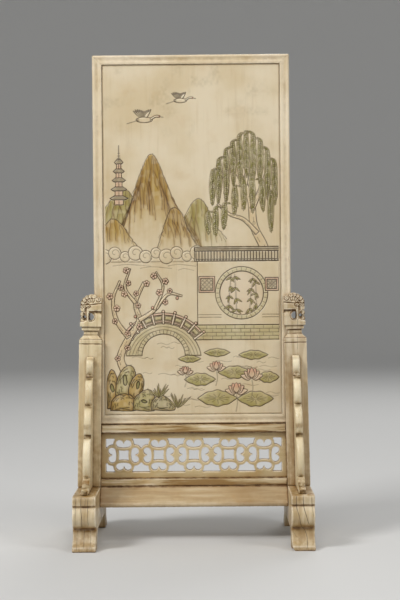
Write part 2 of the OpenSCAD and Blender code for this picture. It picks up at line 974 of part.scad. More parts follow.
// A bracket in outline, from the post's face at x = 0 and the foot's top at y = 0: lobes that
// step out to a belly, then a hollow that runs into the toe
module bracket_outline() {
    crown = [crown_reach - crown_r, bracket_h - crown_r];
    upper = [upper_reach - upper_lobe_r, bracket_h - (crown_notch + lobe_notch) / 2 - notch_drop];
    lower = [lower_reach - lower_lobe_r, bracket_h - (lobe_notch + belly_notch) / 2 - notch_drop];
    belly = [belly_reach - belly_r, bracket_h - belly_notch - belly_r + notch_drop];
    hollow = [toe_l - toe_lip, toe_h + instep_r];
    intersection() {
        union() {
            translate(crown)
                circle(crown_r);
            translate(upper)
                circle(upper_lobe_r);
            translate(lower)
                circle(lower_lobe_r);
            translate(belly)
                circle(belly_r);
            polygon([
                [0, 0],
                [0, crown.y],
                [upper.x, bracket_h - crown_notch],
                lower,
                belly,
                [belly.x, 0]
            ]);
            difference() {
                translate([0, -over])
                    square([toe_l, toe_h + instep_r / 2 + over]);
                translate(hollow)
                    circle(instep_r);
            }
        }
        translate([0, -over])
            square(span);
    }
}

// A bracket from above, with its toe's end rounded
module bracket_plan() {
    round_r = bracket_t / 2;
    translate([0, 0, -span / 2])
        linear_extrude(span) {
            translate([-round_r - over, -over])
                square([2 * (round_r + over), toe_l - round_r + over]);
            translate([0, toe_l - round_r])
                circle(round_r);
        }
}

module toe_tenon(grow) {
    middle = -post_d / 2 - toe_l / 2;
    block(
        [post_x - tongue_t / 2 - grow, middle - toe_tenon_l / 2 - grow, foot_h - toe_tenon_h - grow],
        [post_x + tongue_t / 2 + grow, middle + toe_tenon_l / 2 + grow, foot_h + toe_h / 2]
    );
}

// The front right bracket; its tongue runs up a groove in the post
module bracket() {
    color(honey) {
        intersection() {
            on_post()
                translate([0, -post_d / 2, 0])
                    mirror([0, 1, 0]) {
                        intersection() {
                            side_slab(bracket_t)
                                bracket_outline();
                            bracket_plan();
                        }
                        block(
                            [-tongue_t / 2, -tongue_depth, -over],
                            [tongue_t / 2, over, bracket_h - 2 * crown_r]
                        );
                    }
            above_foot();
        }
        toe_tenon(0);
    }
}

// Half of a foot in outline, from its middle at x = 0 to its toe
module foot_half_outline() {
    toe_x = foot_l / 2;
    scroll_x = toe_x - scroll_set - scroll_r;
    cap_x = toe_x - cap_set;
    cap_z = foot_h - cap_h;
    hollow_z = toe_lip_h + toe_hollow_r;
    translate([0, arch_h])
        square([scroll_x, foot_h - arch_h]);
    translate([0, scroll_z])
        square([toe_x - throat_set, foot_h - cap_r - scroll_z]);
    translate([scroll_x, scroll_z])
        circle(scroll_r);
    translate([0, cap_z])
        square([cap_x, cap_h - cap_r]);
    translate([0, cap_z])
        square([cap_x - cap_r, cap_h]);
    translate([cap_x - cap_r, foot_h - cap_r])
        circle(cap_r);
    difference() {
        square([toe_x, hollow_z]);
        translate([toe_x + toe_hollow_set, hollow_z])
            circle(toe_hollow_r);
        square([toe_x - pad_l - arch_h, arch_h]);
        translate([toe_x - pad_l - arch_h, 0])
            circle(arch_h);
    }
}

module foot_outline() {
    for (side = [0, 1])
        mirror([side, 0])
            foot_half_outline();
}

module foot() {
    color(cream)
        difference() {
            translate([post_x, 0, 0])
                side_slab(foot_w)
                    foot_outline();
            post_tenon(fit);
            toe_tenon(fit);
            back()
                toe_tenon(fit);
            apron_tenons(fit);
            back()
                apron_tenons(fit);
        }
}

module apron_tenons(grow) {
    deep = (apron_t - apron_tenon_t) / 2 - grow;
    top = apron_shoulder - grow;
    low = apron_l - apron_shoulder + grow;
    side_slab(2 * (foot_inner_x + apron_tenon_l + grow))
        polygon([
            apron_point(top, deep),
            apron_point(low, deep),
            apron_point(low, apron_t - deep),
            apron_point(top, apron_t - deep)
        ]);
}

// An apron leans out from under the lower rail and ends in a round lip
module apron() {
    color(honey) {
        side_slab(2 * foot_inner_x) {
            polygon([
                apron_point(0, 0),
                apron_point(apron_l, 0),
                apron_point(apron_l, apron_t),
                apron_point(-apron_t * tan(apron_slope), apron_t)
            ]);
            translate(apron_point(apron_l, apron_t / 2))
                circle(apron_t / 2);
        }
        apron_tenons(0);
    }
}

plaque();
left() panel_stile();  // panel_stile_left
panel_stile();  // panel_stile_right
panel_rail_top();
panel_rail_bottom();
left() post();  // post_left
post();  // post_right
upper_rail();
pierced_board();
lower_rail();
left() bracket();  // bracket_front_left
bracket();  // bracket_front_right
left() back() bracket();  // bracket_back_left
back() bracket();  // bracket_back_right
left() foot();  // foot_left
foot();  // foot_right
apron();  // apron_front
back() apron();  // apron_back
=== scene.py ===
# %% [markdown]
# # A carved table screen, dressed step by step
# The screen is a framed plaque that drops between the grooved posts of a small stand. The solids of
# every piece come from the shared frame, in metres. This lesson gives each of them its hand-worked
# surface: softened edges, carved lion heads, a low-relief garden and an aged, polished cream finish.

# %% Load the frame
import json
import math

import bmesh
import bpy
import numpy as np
from mathutils import Matrix, Vector

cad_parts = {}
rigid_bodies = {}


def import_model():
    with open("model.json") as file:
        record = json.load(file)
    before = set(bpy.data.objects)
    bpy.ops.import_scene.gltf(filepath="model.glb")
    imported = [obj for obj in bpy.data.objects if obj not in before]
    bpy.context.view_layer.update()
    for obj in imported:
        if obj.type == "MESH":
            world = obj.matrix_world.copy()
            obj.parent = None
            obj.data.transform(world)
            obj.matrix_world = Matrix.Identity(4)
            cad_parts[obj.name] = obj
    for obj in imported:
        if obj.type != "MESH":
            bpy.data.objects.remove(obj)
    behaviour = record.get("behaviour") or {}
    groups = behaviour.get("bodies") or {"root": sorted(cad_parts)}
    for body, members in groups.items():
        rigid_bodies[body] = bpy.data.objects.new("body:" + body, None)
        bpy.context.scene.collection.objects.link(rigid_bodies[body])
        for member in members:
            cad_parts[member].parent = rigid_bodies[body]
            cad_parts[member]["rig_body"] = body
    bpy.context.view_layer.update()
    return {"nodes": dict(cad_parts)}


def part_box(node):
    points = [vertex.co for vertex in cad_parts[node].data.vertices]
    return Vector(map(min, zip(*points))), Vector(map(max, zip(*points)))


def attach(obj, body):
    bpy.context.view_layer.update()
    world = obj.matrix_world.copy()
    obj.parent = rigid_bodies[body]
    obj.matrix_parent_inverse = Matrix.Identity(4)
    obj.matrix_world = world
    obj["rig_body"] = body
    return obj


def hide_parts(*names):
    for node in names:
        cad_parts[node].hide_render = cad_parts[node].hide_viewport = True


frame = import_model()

MM = 0.001
nodes = frame["nodes"]
scene = bpy.context.scene

# %% [markdown]
# ## Camera
# The photograph was taken almost level, from about nine tenths of a metre, with a long lens. A long
# lens keeps the posts upright and shows only a little of the feet's tops. The camera is set from
# measured values: how high it stands, how far it is to the right, and its small tilt and roll.

# %% Camera
CAMERA_DISTANCE = 0.920
CAMERA_HEIGHT = 0.1525
CAMERA_RIGHT = 0.009
LENS_MM = 95.0
SENSOR_MM = 36.0
LOOK_DOWN = math.radians(0.9)
LOOK_LEFT = math.radians(0.29)
ROLL = math.radians(-0.5)

camera_data = bpy.data.cameras.new("camera")
camera_data.sensor_fit = "VERTICAL"
camera_data.sensor_height = SENSOR_MM
camera_data.lens = LENS_MM
camera = bpy.data.objects.new("camera", camera_data)
turn = Matrix.Rotation(LOOK_LEFT, 4, "Z") @ Matrix.Rotation(math.pi / 2 - LOOK_DOWN, 4, "X")
place = Matrix.Translation((CAMERA_RIGHT, -CAMERA_DISTANCE, CAMERA_HEIGHT))
camera.matrix_world = place @ turn @ Matrix.Rotation(ROLL, 4, "Z")
scene.collection.objects.link(camera)
scene.camera = camera
print("camera at", [round(v, 4) for v in camera.matrix_world.translation])

# %% [markdown]
# ## Studio
# The stage is a pale round floor that bends up into a wall on all sides, so no horizon line shows from
# any side. The light is soft and comes from four large panels: one high in front, one to each side, of
# which the left one is the brightest, and one behind that lights the back.

# %% Floor
FLOOR_REACH, FLOOR_BEND, FLOOR_MIDDLE, WALL_TALL = 2.6, 0.9, 0.6, 2.4
FLOOR_SIDES, BEND_STEPS = 72, 12
FLOOR_PALE, FLOOR_ROUGHNESS = (0.62, 0.615, 0.60, 1), 0.85


def pale_sweep():
    """A round floor that curves up into a wall."""
    flat = FLOOR_REACH - FLOOR_BEND
    profile = [(FLOOR_MIDDLE, 0.0), (flat, 0.0)]
    for i in range(1, BEND_STEPS + 1):
        turn = math.pi / 2 * i / BEND_STEPS
        profile.append((flat + FLOOR_BEND * math.sin(turn), FLOOR_BEND - FLOOR_BEND * math.cos(turn)))
    profile.append((FLOOR_REACH, WALL_TALL))
    turns = [2 * math.pi * i / FLOOR_SIDES for i in range(FLOOR_SIDES)]
    verts = [(r * math.cos(turn), r * math.sin(turn), z) for r, z in profile for turn in turns]
    faces = [tuple(range(FLOOR_SIDES))]
    for i in range(len(profile) - 1):
        inner, outer = i * FLOOR_SIDES, (i + 1) * FLOOR_SIDES
        for j in range(FLOOR_SIDES):
            k = (j + 1) % FLOOR_SIDES
            faces.append((inner + j, outer + j, outer + k, inner + k))
    mesh = bpy.data.meshes.new("floor")
    mesh.from_pydata(verts, [], faces)
    mesh.polygons.foreach_set("use_smooth", [True] * len(mesh.polygons))
    floor = bpy.data.objects.new("floor", mesh)
    scene.collection.objects.link(floor)
    paint = bpy.data.materials.new("pale floor")
    paint.use_nodes = True
    shader = paint.node_tree.nodes["Principled BSDF"]
    shader.inputs["Base Color"].default_value = FLOOR_PALE
    shader.inputs["Roughness"].default_value = FLOOR_ROUGHNESS
    mesh.materials.append(paint)
    return floor


pale_sweep()
print("floor:", 2 * FLOOR_REACH, "m across")

# %% Lights
AIM = (0, 0, 0.14)
# Each panel: its place and the length of its side in metres, and its power in watts.
PANELS = {
    "left panel": ((-0.8, -0.75, 1.0), 0.4, 11.4),
    "right panel": ((0.95, -0.75, 0.75), 0.45, 4.5),
    "top panel": ((0.0, -0.45, 1.3), 0.5, 3.6),
    "back panel": ((0.3, 1.0, 0.95), 0.6, 4.5),
}
AIR_TINT, AIR_STRENGTH = (0.9, 0.92, 0.95, 1), 0.3


def soft_panel(name, place, size, watts):
    """A large square lamp aimed at the screen."""
    lamp = bpy.data.lights.new(name, "AREA")
    lamp.shape = "SQUARE"
    lamp.size = size
    lamp.energy = watts
    holder = bpy.data.objects.new(name, lamp)
    holder.location = place
    holder.rotation_euler = (Vector(AIM) - Vector(place)).to_track_quat("-Z", "Y").to_euler()
    scene.collection.objects.link(holder)


for name, panel in PANELS.items():
    soft_panel(name, *panel)
world = bpy.data.worlds.new("studio")
world.use_nodes = True
air = world.node_tree.nodes["Background"]
air.inputs["Color"].default_value = AIR_TINT
air.inputs["Strength"].default_value = AIR_STRENGTH
scene.world = world
scene.view_settings.view_transform = "Standard"
print("lamps:", list(PANELS))

# %% [markdown]
# ## The aged cream finish
# With that dirt the finish paints shade into creases and nooks, and a sheen on rubbed edges.
# The screen is cut from a dense, cream-coloured carving material. Long handling polished it, and age
# turned it yellow in patches, opened hairline cracks along its grain and left brown dirt in its creases.
# An image of an old surface could be wrapped on, but it would stretch on the carvings. A node tree that
# reads the piece's own coordinates has no seams and works at the right scale on every piece.

# %% Helpers for node trees
def add(tree, kind, settings=None, feed=None):
    """Add a node, set its properties and feed its sockets with values or with other sockets."""
    node = tree.nodes.new(kind)
    for key, value in (settings or {}).items():
        setattr(node, key, value)
    for key, value in (feed or {}).items():
        if isinstance(value, bpy.types.NodeSocket):
            tree.links.new(value, node.inputs[key])
        else:
            node.inputs[key].default_value = value
    return node


def noise(tree, place, scale, detail=3.0):
    """Cloudy noise from 0 to 1."""
    feed = {"Vector": place, "Scale": scale, "Detail": detail}
    return add(tree, "ShaderNodeTexNoise", None, feed).outputs["Fac"]


def stretched(tree, place, scale, shift=(0, 0, 0)):
    """The same coordinates, scaled apart along each axis."""
    feed = {"Vector": place, "Scale": scale, "Location": shift}
    return add(tree, "ShaderNodeMapping", None, feed).outputs["Vector"]


def span(tree, value, low, high, start=0.0, end=1.0):
    """Carry a value that runs from low to high smoothly over to start and end."""
    feed = {"Value": value, "From Min": low, "From Max": high, "To Min": start, "To Max": end}
    return add(tree, "ShaderNodeMapRange", {"interpolation_type": "SMOOTHSTEP"}, feed).outputs["Result"]


def maths(tree, operation, first, second=0.0):
    """One sum on numbers."""
    return add(tree, "ShaderNodeMath", {"operation": operation}, {0: first, 1: second}).outputs[0]


def mix(tree, share, under, over, blend="MIX"):
    """Lay one colour over another."""
    settings = {"data_type": "RGBA", "blend_type": blend}
    return add(tree, "ShaderNodeMix", settings, {0: share, 6: under, 7: over}).outputs[2]


# %% Colours and cracks
def tone(red, green, blue):
    """A colour on the usual scale from 0 to 255, as the linear light that shaders take."""
    shares = [value / 255 for value in (red, green, blue)]
    return (*[s / 12.92 if s < 0.04 else ((s + 0.055) / 1.055) ** 2.4 for s in shares], 1)


def hairlines(tree, place, along, spacing, width):
    """Thin wandering lines along one axis, at an even spacing that a slow noise upsets."""
    steps = [1 / spacing] * 3
    steps[along] = 0.0
    dot = add(tree, "ShaderNodeVectorMath", {"operation": "DOT_PRODUCT"}, {0: place, 1: steps})
    drift = [0.1, 0.1, 0.1]
    drift[along] = 0.03
    wander = maths(tree, "MULTIPLY", noise(tree, stretched(tree, place, drift), 1.0, 3.0), 1.6)
    phase = maths(tree, "FRACT", maths(tree, "ADD", dot.outputs["Value"], wander))
    middle = maths(tree, "ABSOLUTE", maths(tree, "SUBTRACT", phase, 0.5))
    return span(tree, middle, 0.0, width / spacing, 1.0, 0.0)


def split(tree, place, path, width):
    """One long age crack on the front: a smooth line through points given as x and z in mm."""
    axes = add(tree, "ShaderNodeSeparateXYZ", None, {0: place}).outputs
    path = sorted(path, key=lambda point: point[1])
    left, low, high = min(x for x, _ in path), path[0][1], path[-1][1]
    wide = max(x for x, _ in path) - left + 0.01
    feed = {"Value": axes["Z"], "From Min": low, "From Max": high}
    rise = add(tree, "ShaderNodeMapRange", None, feed).outputs["Result"]
    bend = add(tree, "ShaderNodeFloatCurve", None, {"Value": rise})
    line = bend.mapping.curves[0]
    for i, (x, z) in enumerate(path):
        spot = ((z - low) / (high - low), (x - left) / wide)
        if 0 < i < len(path) - 1:
            line.points.new(*spot)
        else:
            line.points[-1 if i else 0].location = spot
    bend.mapping.update()
    ideal = maths(tree, "ADD", maths(tree, "MULTIPLY", bend.outputs["Value"], wide), left)
    aside = maths(tree, "ABSOLUTE", maths(tree, "SUBTRACT", axes["X"], ideal))
    uneven = span(tree, noise(tree, place, 0.35, 2.0), 0.3, 0.7, 0.5 * width, width)
    crack = span(tree, aside, 0.0, uneven, 1.0, 0.0)
    top = span(tree, axes["Z"], high - 1.5, high, 1.0, 0.0)
    foot = span(tree, axes["Z"], low, low + 2)
    front = span(tree, axes["Y"], -6.0, -5.0, 1.0, 0.0)
    for share in (top, foot, front):
        crack = maths(tree, "MULTIPLY", crack, share)
    return crack


# %% Colours of the grain, the dirt and the wear
FIBRE = tone(216, 202, 172)
OCHRE = tone(186, 148, 88)
# DIRT is the brown of dirt in creases and of painted shade in nooks.
DIRT = tone(98, 64, 30)
LINE_BROWN = tone(112, 80, 42)
STAIN = tone(136, 99, 38)
NOTCH_BROWN = tone(92, 66, 22)
PATINA = tone(208, 178, 130)
CRACK = tone(70, 58, 46)
# RUBBED is the pale of worn edges, with a painted sheen, and of pale streaks in the grain.
RUBBED = tone(243, 232, 208)
INK = tone(46, 35, 22)


def cream_grain(tree, place, pale, mellow, along, soil, grain, streaks):
    """The material's own colour, with fibres, ochre patches and streaks along its grain."""
    colour = mix(tree, span(tree, noise(tree, place, 0.03, 4.0), 0.36, 0.66), pale, mellow)
    thin = [0.5, 0.5, 0.5]
    thin[along] = 0.025
    fibre = noise(tree, stretched(tree, place, thin), 1.0, 4.0)
    fibrous = span(tree, noise(tree, place, 0.05, 3.0), 0.4, 0.62, 0.15, 1.0)
    amount = maths(tree, "MULTIPLY", span(tree, fibre, 0.46, 0.72, 0.0, grain), fibrous)
    colour = mix(tree, amount, colour, FIBRE, "MULTIPLY")
    patch = span(tree, noise(tree, place, 0.075, 6.0), 0.56, 0.74, 0.0, 0.36 * soil)
    colour = mix(tree, patch, colour, OCHRE)
    if streaks:
        run = [0.42, 0.1, 0.42]
        run[along] = 0.035
        dark = noise(tree, stretched(tree, place, run, (7, 3, 5)), 1.0, 4.0)
        colour = mix(tree, span(tree, dark, 0.47, 0.6, 0.0, streaks), colour, STAIN)
        colour = mix(tree, span(tree, dark, 0.36, 0.46, 0.6 * streaks, 0.0), colour, RUBBED)
    return colour, fibre


# %% Marks of handling
HOLLOW_REACH, NOOK_REACH = 7 * MM, 1.5 * MM


def marked(tree, name, output="Fac"):
    """A number or a colour that was kept on the piece's points."""
    return add(tree, "ShaderNodeAttribute", {"attribute_name": name}).outputs[output]


def openness(tree, reach, samples):
    """How open a spot is to the space around it, from 0 in a hole to 1 on open ground."""
    return add(tree, "ShaderNodeAmbientOcclusion", {"samples": samples}, {"Distance": reach}).outputs["AO"]


def handled(tree, place, colour, soil, extra):
    """Edges rubbed pale, yellow hollows, brown stains, dirt in the creases, and painted sheen and shade."""
    # Convex edges turn pale: wear, with a painted sheen.
    rubbed = span(tree, marked(tree, "edge"), 0.02, 0.2, 0.0, extra.get("rub", 0.6))
    colour = mix(tree, rubbed, colour, RUBBED)
    hollow = openness(tree, HOLLOW_REACH, 4)
    colour = mix(tree, span(tree, hollow, 0.25, 0.9, 0.75 * soil, 0.0), colour, PATINA, "MULTIPLY")
    uneven = span(tree, noise(tree, place, 0.3, 4.0), 0.32, 0.66, 0.3, 1.0)
    # Brown stains, and on the posts painted shade and shadow.
    colour = mix(tree, maths(tree, "MULTIPLY", marked(tree, "stain"), uneven), colour, STAIN)
    # Nooks and creases darken: dirt, and painted shade where light is shut out.
    nook = span(tree, openness(tree, NOOK_REACH, 6), 0.3, 0.9, extra.get("nooks", 1.0), 0.0)
    dirt = maths(tree, "MAXIMUM", span(tree, marked(tree, "crease"), 0.004, 0.09), nook)
    if "patchy" in extra:
        patches = span(tree, noise(tree, place, 0.04, 3.0), 0.4, 0.6, 1 - extra["patchy"], 1.0)
        dirt = maths(tree, "MULTIPLY", dirt, patches)
    grime = extra.get("grime", 0.85 * soil)
    dirt = maths(tree, "MULTIPLY", maths(tree, "MULTIPLY", dirt, uneven), grime)
    return mix(tree, dirt, colour, extra.get("dirt", DIRT))


# %% The whole finish
CRACK_SPACING, CRACK_WIDTH = 5.0, 0.16
BUMP_STRENGTH, BUMP_DEPTH = 0.35, 0.12 * MM
GLOW_WEIGHT, GLOW_RADIUS, GLOW_REACH = 0.06, (1.0, 0.6, 0.35), 1.2 * MM


def aged_cream(name, pale, mellow, along, soil=1.0, cracks=0.5, grain=0.5, **extra):
    """The carving material, with its grain along one axis: 0 across the screen, 1 in depth, 2 upright."""
    # Extra words tune the rub and sheen of edges, the dirt and painted shade of nooks and creases, and
    # its patches, or add streaks, splits and paint.
    material = bpy.data.materials.new(name)
    material.use_nodes = True
    tree = material.node_tree
    shader = tree.nodes["Principled BSDF"]
    metres = add(tree, "ShaderNodeTexCoord").outputs["Object"]
    place = stretched(tree, metres, (1 / MM, 1 / MM, 1 / MM))
    colour, fibre = cream_grain(tree, place, pale, mellow, along, soil, grain, extra.get("streaks"))
    colour = handled(tree, place, colour, soil, extra)

    where = span(tree, noise(tree, place, 0.05, 2.0), 0.52, 0.62, 0.0, cracks)
    fine = hairlines(tree, place, along, CRACK_SPACING, CRACK_WIDTH)
    lines = maths(tree, "MULTIPLY", fine, where)
    for path, width in extra.get("splits", ()):
        lines = maths(tree, "MAXIMUM", lines, split(tree, place, path, width))
    colour = mix(tree, lines, colour, CRACK)
    if extra.get("painted"):
        colour = mix(tree, 1.0, colour, marked(tree, "paint", "Color"), "MULTIPLY")
        inked = maths(tree, "MULTIPLY", marked(tree, "paint", "Alpha"), 0.92)
        colour = mix(tree, inked, colour, INK)

    tree.links.new(colour, shader.inputs["Base Color"])
    rough = span(tree, noise(tree, place, 0.2, 4.0), 0.3, 0.7, 0.32, 0.5)
    tree.links.new(rough, shader.inputs["Roughness"])
    height = maths(tree, "SUBTRACT", maths(tree, "ADD", fibre, noise(tree, place, 1.6, 3.0)), lines)
    feed = {"Strength": BUMP_STRENGTH, "Distance": BUMP_DEPTH, "Height": height}
    bump = add(tree, "ShaderNodeBump", None, feed)
    tree.links.new(bump.outputs["Normal"], shader.inputs["Normal"])
    shader.inputs["Subsurface Weight"].default_value = GLOW_WEIGHT
    shader.inputs["Subsurface Radius"].default_value = GLOW_RADIUS
    shader.inputs["Subsurface Scale"].default_value = GLOW_REACH
    return material


# %% Finishes of the pieces
ACROSS, UPRIGHT = 0, 2
PALE_FIELD, MELLOW_FIELD = tone(221, 206, 177), tone(209, 190, 154)
PALE_PANEL, MELLOW_PANEL = tone(230, 215, 187), tone(217, 198, 162)
PALE_POST, MELLOW_POST = tone(238, 224, 191), tone(218, 200, 161)
DULL_POST, DULL_MELLOW_POST = tone(214, 198, 168), tone(190, 169, 132)
PALE_RAIL, MELLOW_RAIL = tone(210, 191, 154), tone(192, 167, 122)
PALE_FRET, MELLOW_FRET = tone(206, 187, 146), tone(188, 162, 112)
PALE_APRON, MELLOW_APRON = tone(188, 165, 126), tone(168, 140, 97)
PALE_FOOT, MELLOW_FOOT = tone(214, 198, 166), tone(192, 168, 126)
# Each split: its points as x and z in mm, and its width.
FOOT_SPLITS = (
    (((57.2, 30.5), (56.9, 26), (58.6, 17.7), (59.3, 14), (62.1, 9.3), (62.8, 5.7), (61.6, 0)), 0.36),
    (((60.8, 30.5), (60.8, 26), (62.4, 18.7), (64.2, 13.2)), 0.44),
    (((65.4, 30), (65.6, 25), (66.4, 18)), 0.2),
    (((-62.2, 30.5), (-62.4, 24), (-61.9, 18), (-62.3, 12.5)), 0.34),
    (((-58.3, 30), (-58.6, 23), (-58.0, 13.5)), 0.26),
    (((-65.7, 30), (-65.4, 22), (-65.8, 14)), 0.24),
    (((-60.6, 12.5), (-60.9, 7), (-60.2, 1)), 0.2),
    (((-64.4, 12), (-64.8, 6), (-64.2, 0)), 0.16),
    (((-57.6, 12), (-57.2, 6), (-57.8, 0)), 0.18),
)
POST_SPLITS = (
    (((60.4, 133), (60.6, 122), (60.1, 108)), 0.2),
    (((-60.6, 126), (-60.4, 116), (-60.7, 104)), 0.12),
)
PANEL_LINES = {"dirt": LINE_BROWN, "grime": 0.9, "nooks": 0.38, "patchy": 0.8}
finish = {
    "stile": aged_cream(
        "stile_cream", PALE_PANEL, MELLOW_PANEL, UPRIGHT, soil=0.6, cracks=0.2, grain=0.4, **PANEL_LINES
    ),
    "bar": aged_cream(
        "bar_cream", PALE_PANEL, MELLOW_PANEL, ACROSS, soil=0.8, cracks=0.2, grain=0.45, **PANEL_LINES
    ),
    "left post": aged_cream(
        "left_post_cream", PALE_POST, MELLOW_POST, UPRIGHT, soil=0.9, cracks=0.5, grain=0.6,
        streaks=0.12, splits=POST_SPLITS,
    ),
    "right post": aged_cream(
        "right_post_cream", DULL_POST, DULL_MELLOW_POST, UPRIGHT, soil=0.95, cracks=0.5, grain=0.7,
        streaks=0.32, splits=POST_SPLITS,
    ),
    "bracket": aged_cream(
        "bracket_cream", PALE_POST, MELLOW_POST, UPRIGHT, soil=0.9, cracks=0.5, grain=0.6,
        grime=1.15, dirt=NOTCH_BROWN,
    ),
    "rail": aged_cream(
        "rail_cream", PALE_RAIL, MELLOW_RAIL, ACROSS, soil=1.0, cracks=0.45, grain=0.7, streaks=0.85
    ),
    "apron": aged_cream(
        "apron_cream", PALE_APRON, MELLOW_APRON, ACROSS, soil=1.0, cracks=0.3, grain=0.6,
        streaks=0.26, rub=0.3,
    ),
    "foot": aged_cream(
        "foot_cream", PALE_FOOT, MELLOW_FOOT, UPRIGHT, soil=1.1, cracks=0.6, grain=0.8,
        streaks=0.36, splits=FOOT_SPLITS,
    ),
    # The fretwork's rims get the strongest painted sheen.
    "fret": aged_cream(
        "fretwork_cream", PALE_FRET, MELLOW_FRET, ACROSS, soil=1.3, cracks=0.3, grain=0.5, rub=0.85
    ),
}
print("finishes:", sorted(finish))

# %% [markdown]
# ## Worn pieces
# The frame's solids have true, crisp edges. The real pieces were cut by hand and have been rubbed for
# generations, so their edges are soft, uneven and nicked. A bevel on each edge would be regular. Here
# each solid is copied, remeshed into small even squares, relaxed a little, and then pared down by up to a
# few tenths of a millimetre. Nothing is added, so a worn piece keeps within the size of its solid.

# %% The bench
def through(mesh, kind, **settings):
    """A copy of a mesh after one modifier."""
    holder = bpy.data.objects.new("bench", mesh)
    scene.collection.objects.link(holder)
    step = holder.modifiers.new("step", kind)
    for key, value in settings.items():
        setattr(step, key, value)
    made = bpy.data.meshes.new_from_object(holder.evaluated_get(bpy.context.evaluated_depsgraph_get()))
    bpy.data.objects.remove(holder)
    return made


def on_bench(node):
    """A welded copy of one solid, in millimetres."""
    work = bmesh.new()
    work.from_mesh(nodes[node].data)
    bmesh.ops.scale(work, vec=(1 / MM, 1 / MM, 1 / MM), verts=work.verts)
    bmesh.ops.remove_doubles(work, verts=work.verts, dist=0.001)
    mesh = bpy.data.meshes.new(node + "_bench")
    work.to_mesh(mesh)
    work.free()
    return mesh


# %% Points of a mesh
def points_of(mesh):
    """The points of a mesh as an array."""
    flat = np.empty(len(mesh.vertices) * 3, np.float32)
    mesh.vertices.foreach_get("co", flat)
    return flat.reshape(-1, 3).astype(float)


def normals_of(mesh):
    """The outward direction at each point."""
    flat = np.empty(len(mesh.vertices) * 3, np.float32)
    mesh.vertex_normals.foreach_get("vector", flat)
    return flat.reshape(-1, 3).astype(float)


def put_points(mesh, points):
    """Move the points of a mesh."""
    mesh.vertices.foreach_set("co", points.astype(np.float32).ravel())
    mesh.update()


# %% Soft steps and waves
def step_up(value, low, high):
    """A smooth step from 0 to 1."""
    share = np.clip((value - low) / (high - low), 0, 1)
    return share * share * (3 - 2 * share)


def dip(distance, half, soft):
    """1 within a distance, falling softly to 0."""
    return 1 - step_up(distance, half, half + soft)


WAVE_COUNT = 9


def waves(points, length, seed):
    """Slow, irregular waves from 0 to 1, about one length apart."""
    draw = np.random.default_rng(seed)
    total = np.zeros(len(points))
    for _ in range(WAVE_COUNT):
        heading = draw.normal(size=3)
        heading *= draw.uniform(0.6, 1.6) / length / np.linalg.norm(heading)
        total += np.sin(2 * np.pi * (points @ heading) + draw.uniform(0, 2 * np.pi))
    return np.clip(0.5 + total / WAVE_COUNT, 0, 1)


# %% Wearing a piece
PIECE_SEEDS = {name: 11 * i + 3 for i, name in enumerate(sorted(nodes))}
RELIEF_ROUNDS, PROUD_MOST = 26, 0.3
UNEVEN_DEEP, UNEVEN_LONG = 0.05, 9.0
NICK_SHARE, NICK_LONG = 0.9, 2.6


def mark(mesh, name, amount):
    """Keep one number on each point for the finish to read."""
    layer = mesh.attributes.new(name, "FLOAT", "POINT")
    layer.data.foreach_set("value", np.clip(amount, 0, 1).astype(np.float32))


def mark_relief(mesh, loose=1.0, grime=None):
    """Mark how far each point stands out on an edge or lies back in a crease."""
    even = points_of(through(mesh, "SMOOTH", factor=0.5, iterations=RELIEF_ROUNDS))
    proud = ((points_of(mesh) - even) * normals_of(mesh)).sum(1) * loose
    # A film above 0 adds dirt and painted shade. One below 0 takes the dark out of a crease:
    # rubbed clean on the toes, and painted light under the brackets' shadowed bellies.
    film = grime(points_of(mesh)) if grime else np.zeros(len(proud))
    mark(mesh, "edge", proud * (1 - np.maximum(film, 0)))
    mark(mesh, "crease", np.maximum(-proud * (1 + np.minimum(film, 0)), 0.1 * film))
    return proud


def worn_copy(node, voxel, rounds, carve=None, stain=None, closed_joint=None, grime=None):
    """A remeshed copy of a solid with relaxed edges, shallow unevenness and small nicks."""
    mesh = through(on_bench(node), "REMESH", mode="VOXEL", voxel_size=voxel)
    cut = points_of(mesh)
    loose = 1 - closed_joint(cut) if closed_joint else np.ones(len(cut))
    mesh = through(mesh, "SMOOTH", factor=0.5, iterations=rounds)
    put_points(mesh, cut + (points_of(mesh) - cut) * loose[:, None])
    if carve:
        put_points(mesh, carve(points_of(mesh), normals_of(mesh)))
        mesh = through(mesh, "SMOOTH", factor=0.3, iterations=1)
    proud = np.clip(mark_relief(mesh, loose, grime), 0, PROUD_MOST)
    points, normals, seed = points_of(mesh), normals_of(mesh), PIECE_SEEDS[node]
    if stain:
        mark(mesh, "stain", stain(points, normals))
    nicks = NICK_SHARE * proud * step_up(waves(points, NICK_LONG, seed + 1), 0.5, 0.85)
    put_points(mesh, points - normals * (UNEVEN_DEEP * waves(points, UNEVEN_LONG, seed) + nicks)[:, None])
    return mesh


def place_piece(mesh, name, node, material):
    """Bring a mesh back to metres, give it its finish and let it stand for a solid."""
    mesh.transform(Matrix.Scale(MM, 4))
    mesh.materials.clear()
    mesh.materials.append(material)
    mesh.polygons.foreach_set("use_smooth", np.ones(len(mesh.polygons), bool))
    piece = bpy.data.objects.new(name, mesh)
    scene.collection.objects.link(piece)
    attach(piece, nodes[node]["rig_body"])
    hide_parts(node)
    print(name, "faces:", len(mesh.polygons))
    return piece


# %% [markdown]
# ## Rails, aprons, feet and brackets
# Rails and aprons are plain slips with the grain along them. The feet end in scrolls, and the vase-shaped
# brackets stand on the feet and steady the posts. Their outlines come from the solids, so here they only
# need wear: the brackets' shaped edges and the lips of the toes are rubbed round by hand and cloth, and
# brown stain gathers in the notches and under the scrolls.

# %% Where the posts stand
FOOT_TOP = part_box("foot_right")[1].z / MM
POST_X = sum(corner.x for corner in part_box("foot_right")) / 2 / MM
SPLAY = math.radians(1.07)
print("feet end at", round(FOOT_TOP, 2), "mm, posts stand", round(POST_X, 2), "mm aside")

# %% Wear of the brackets
BRACKET_HALF = 2.1
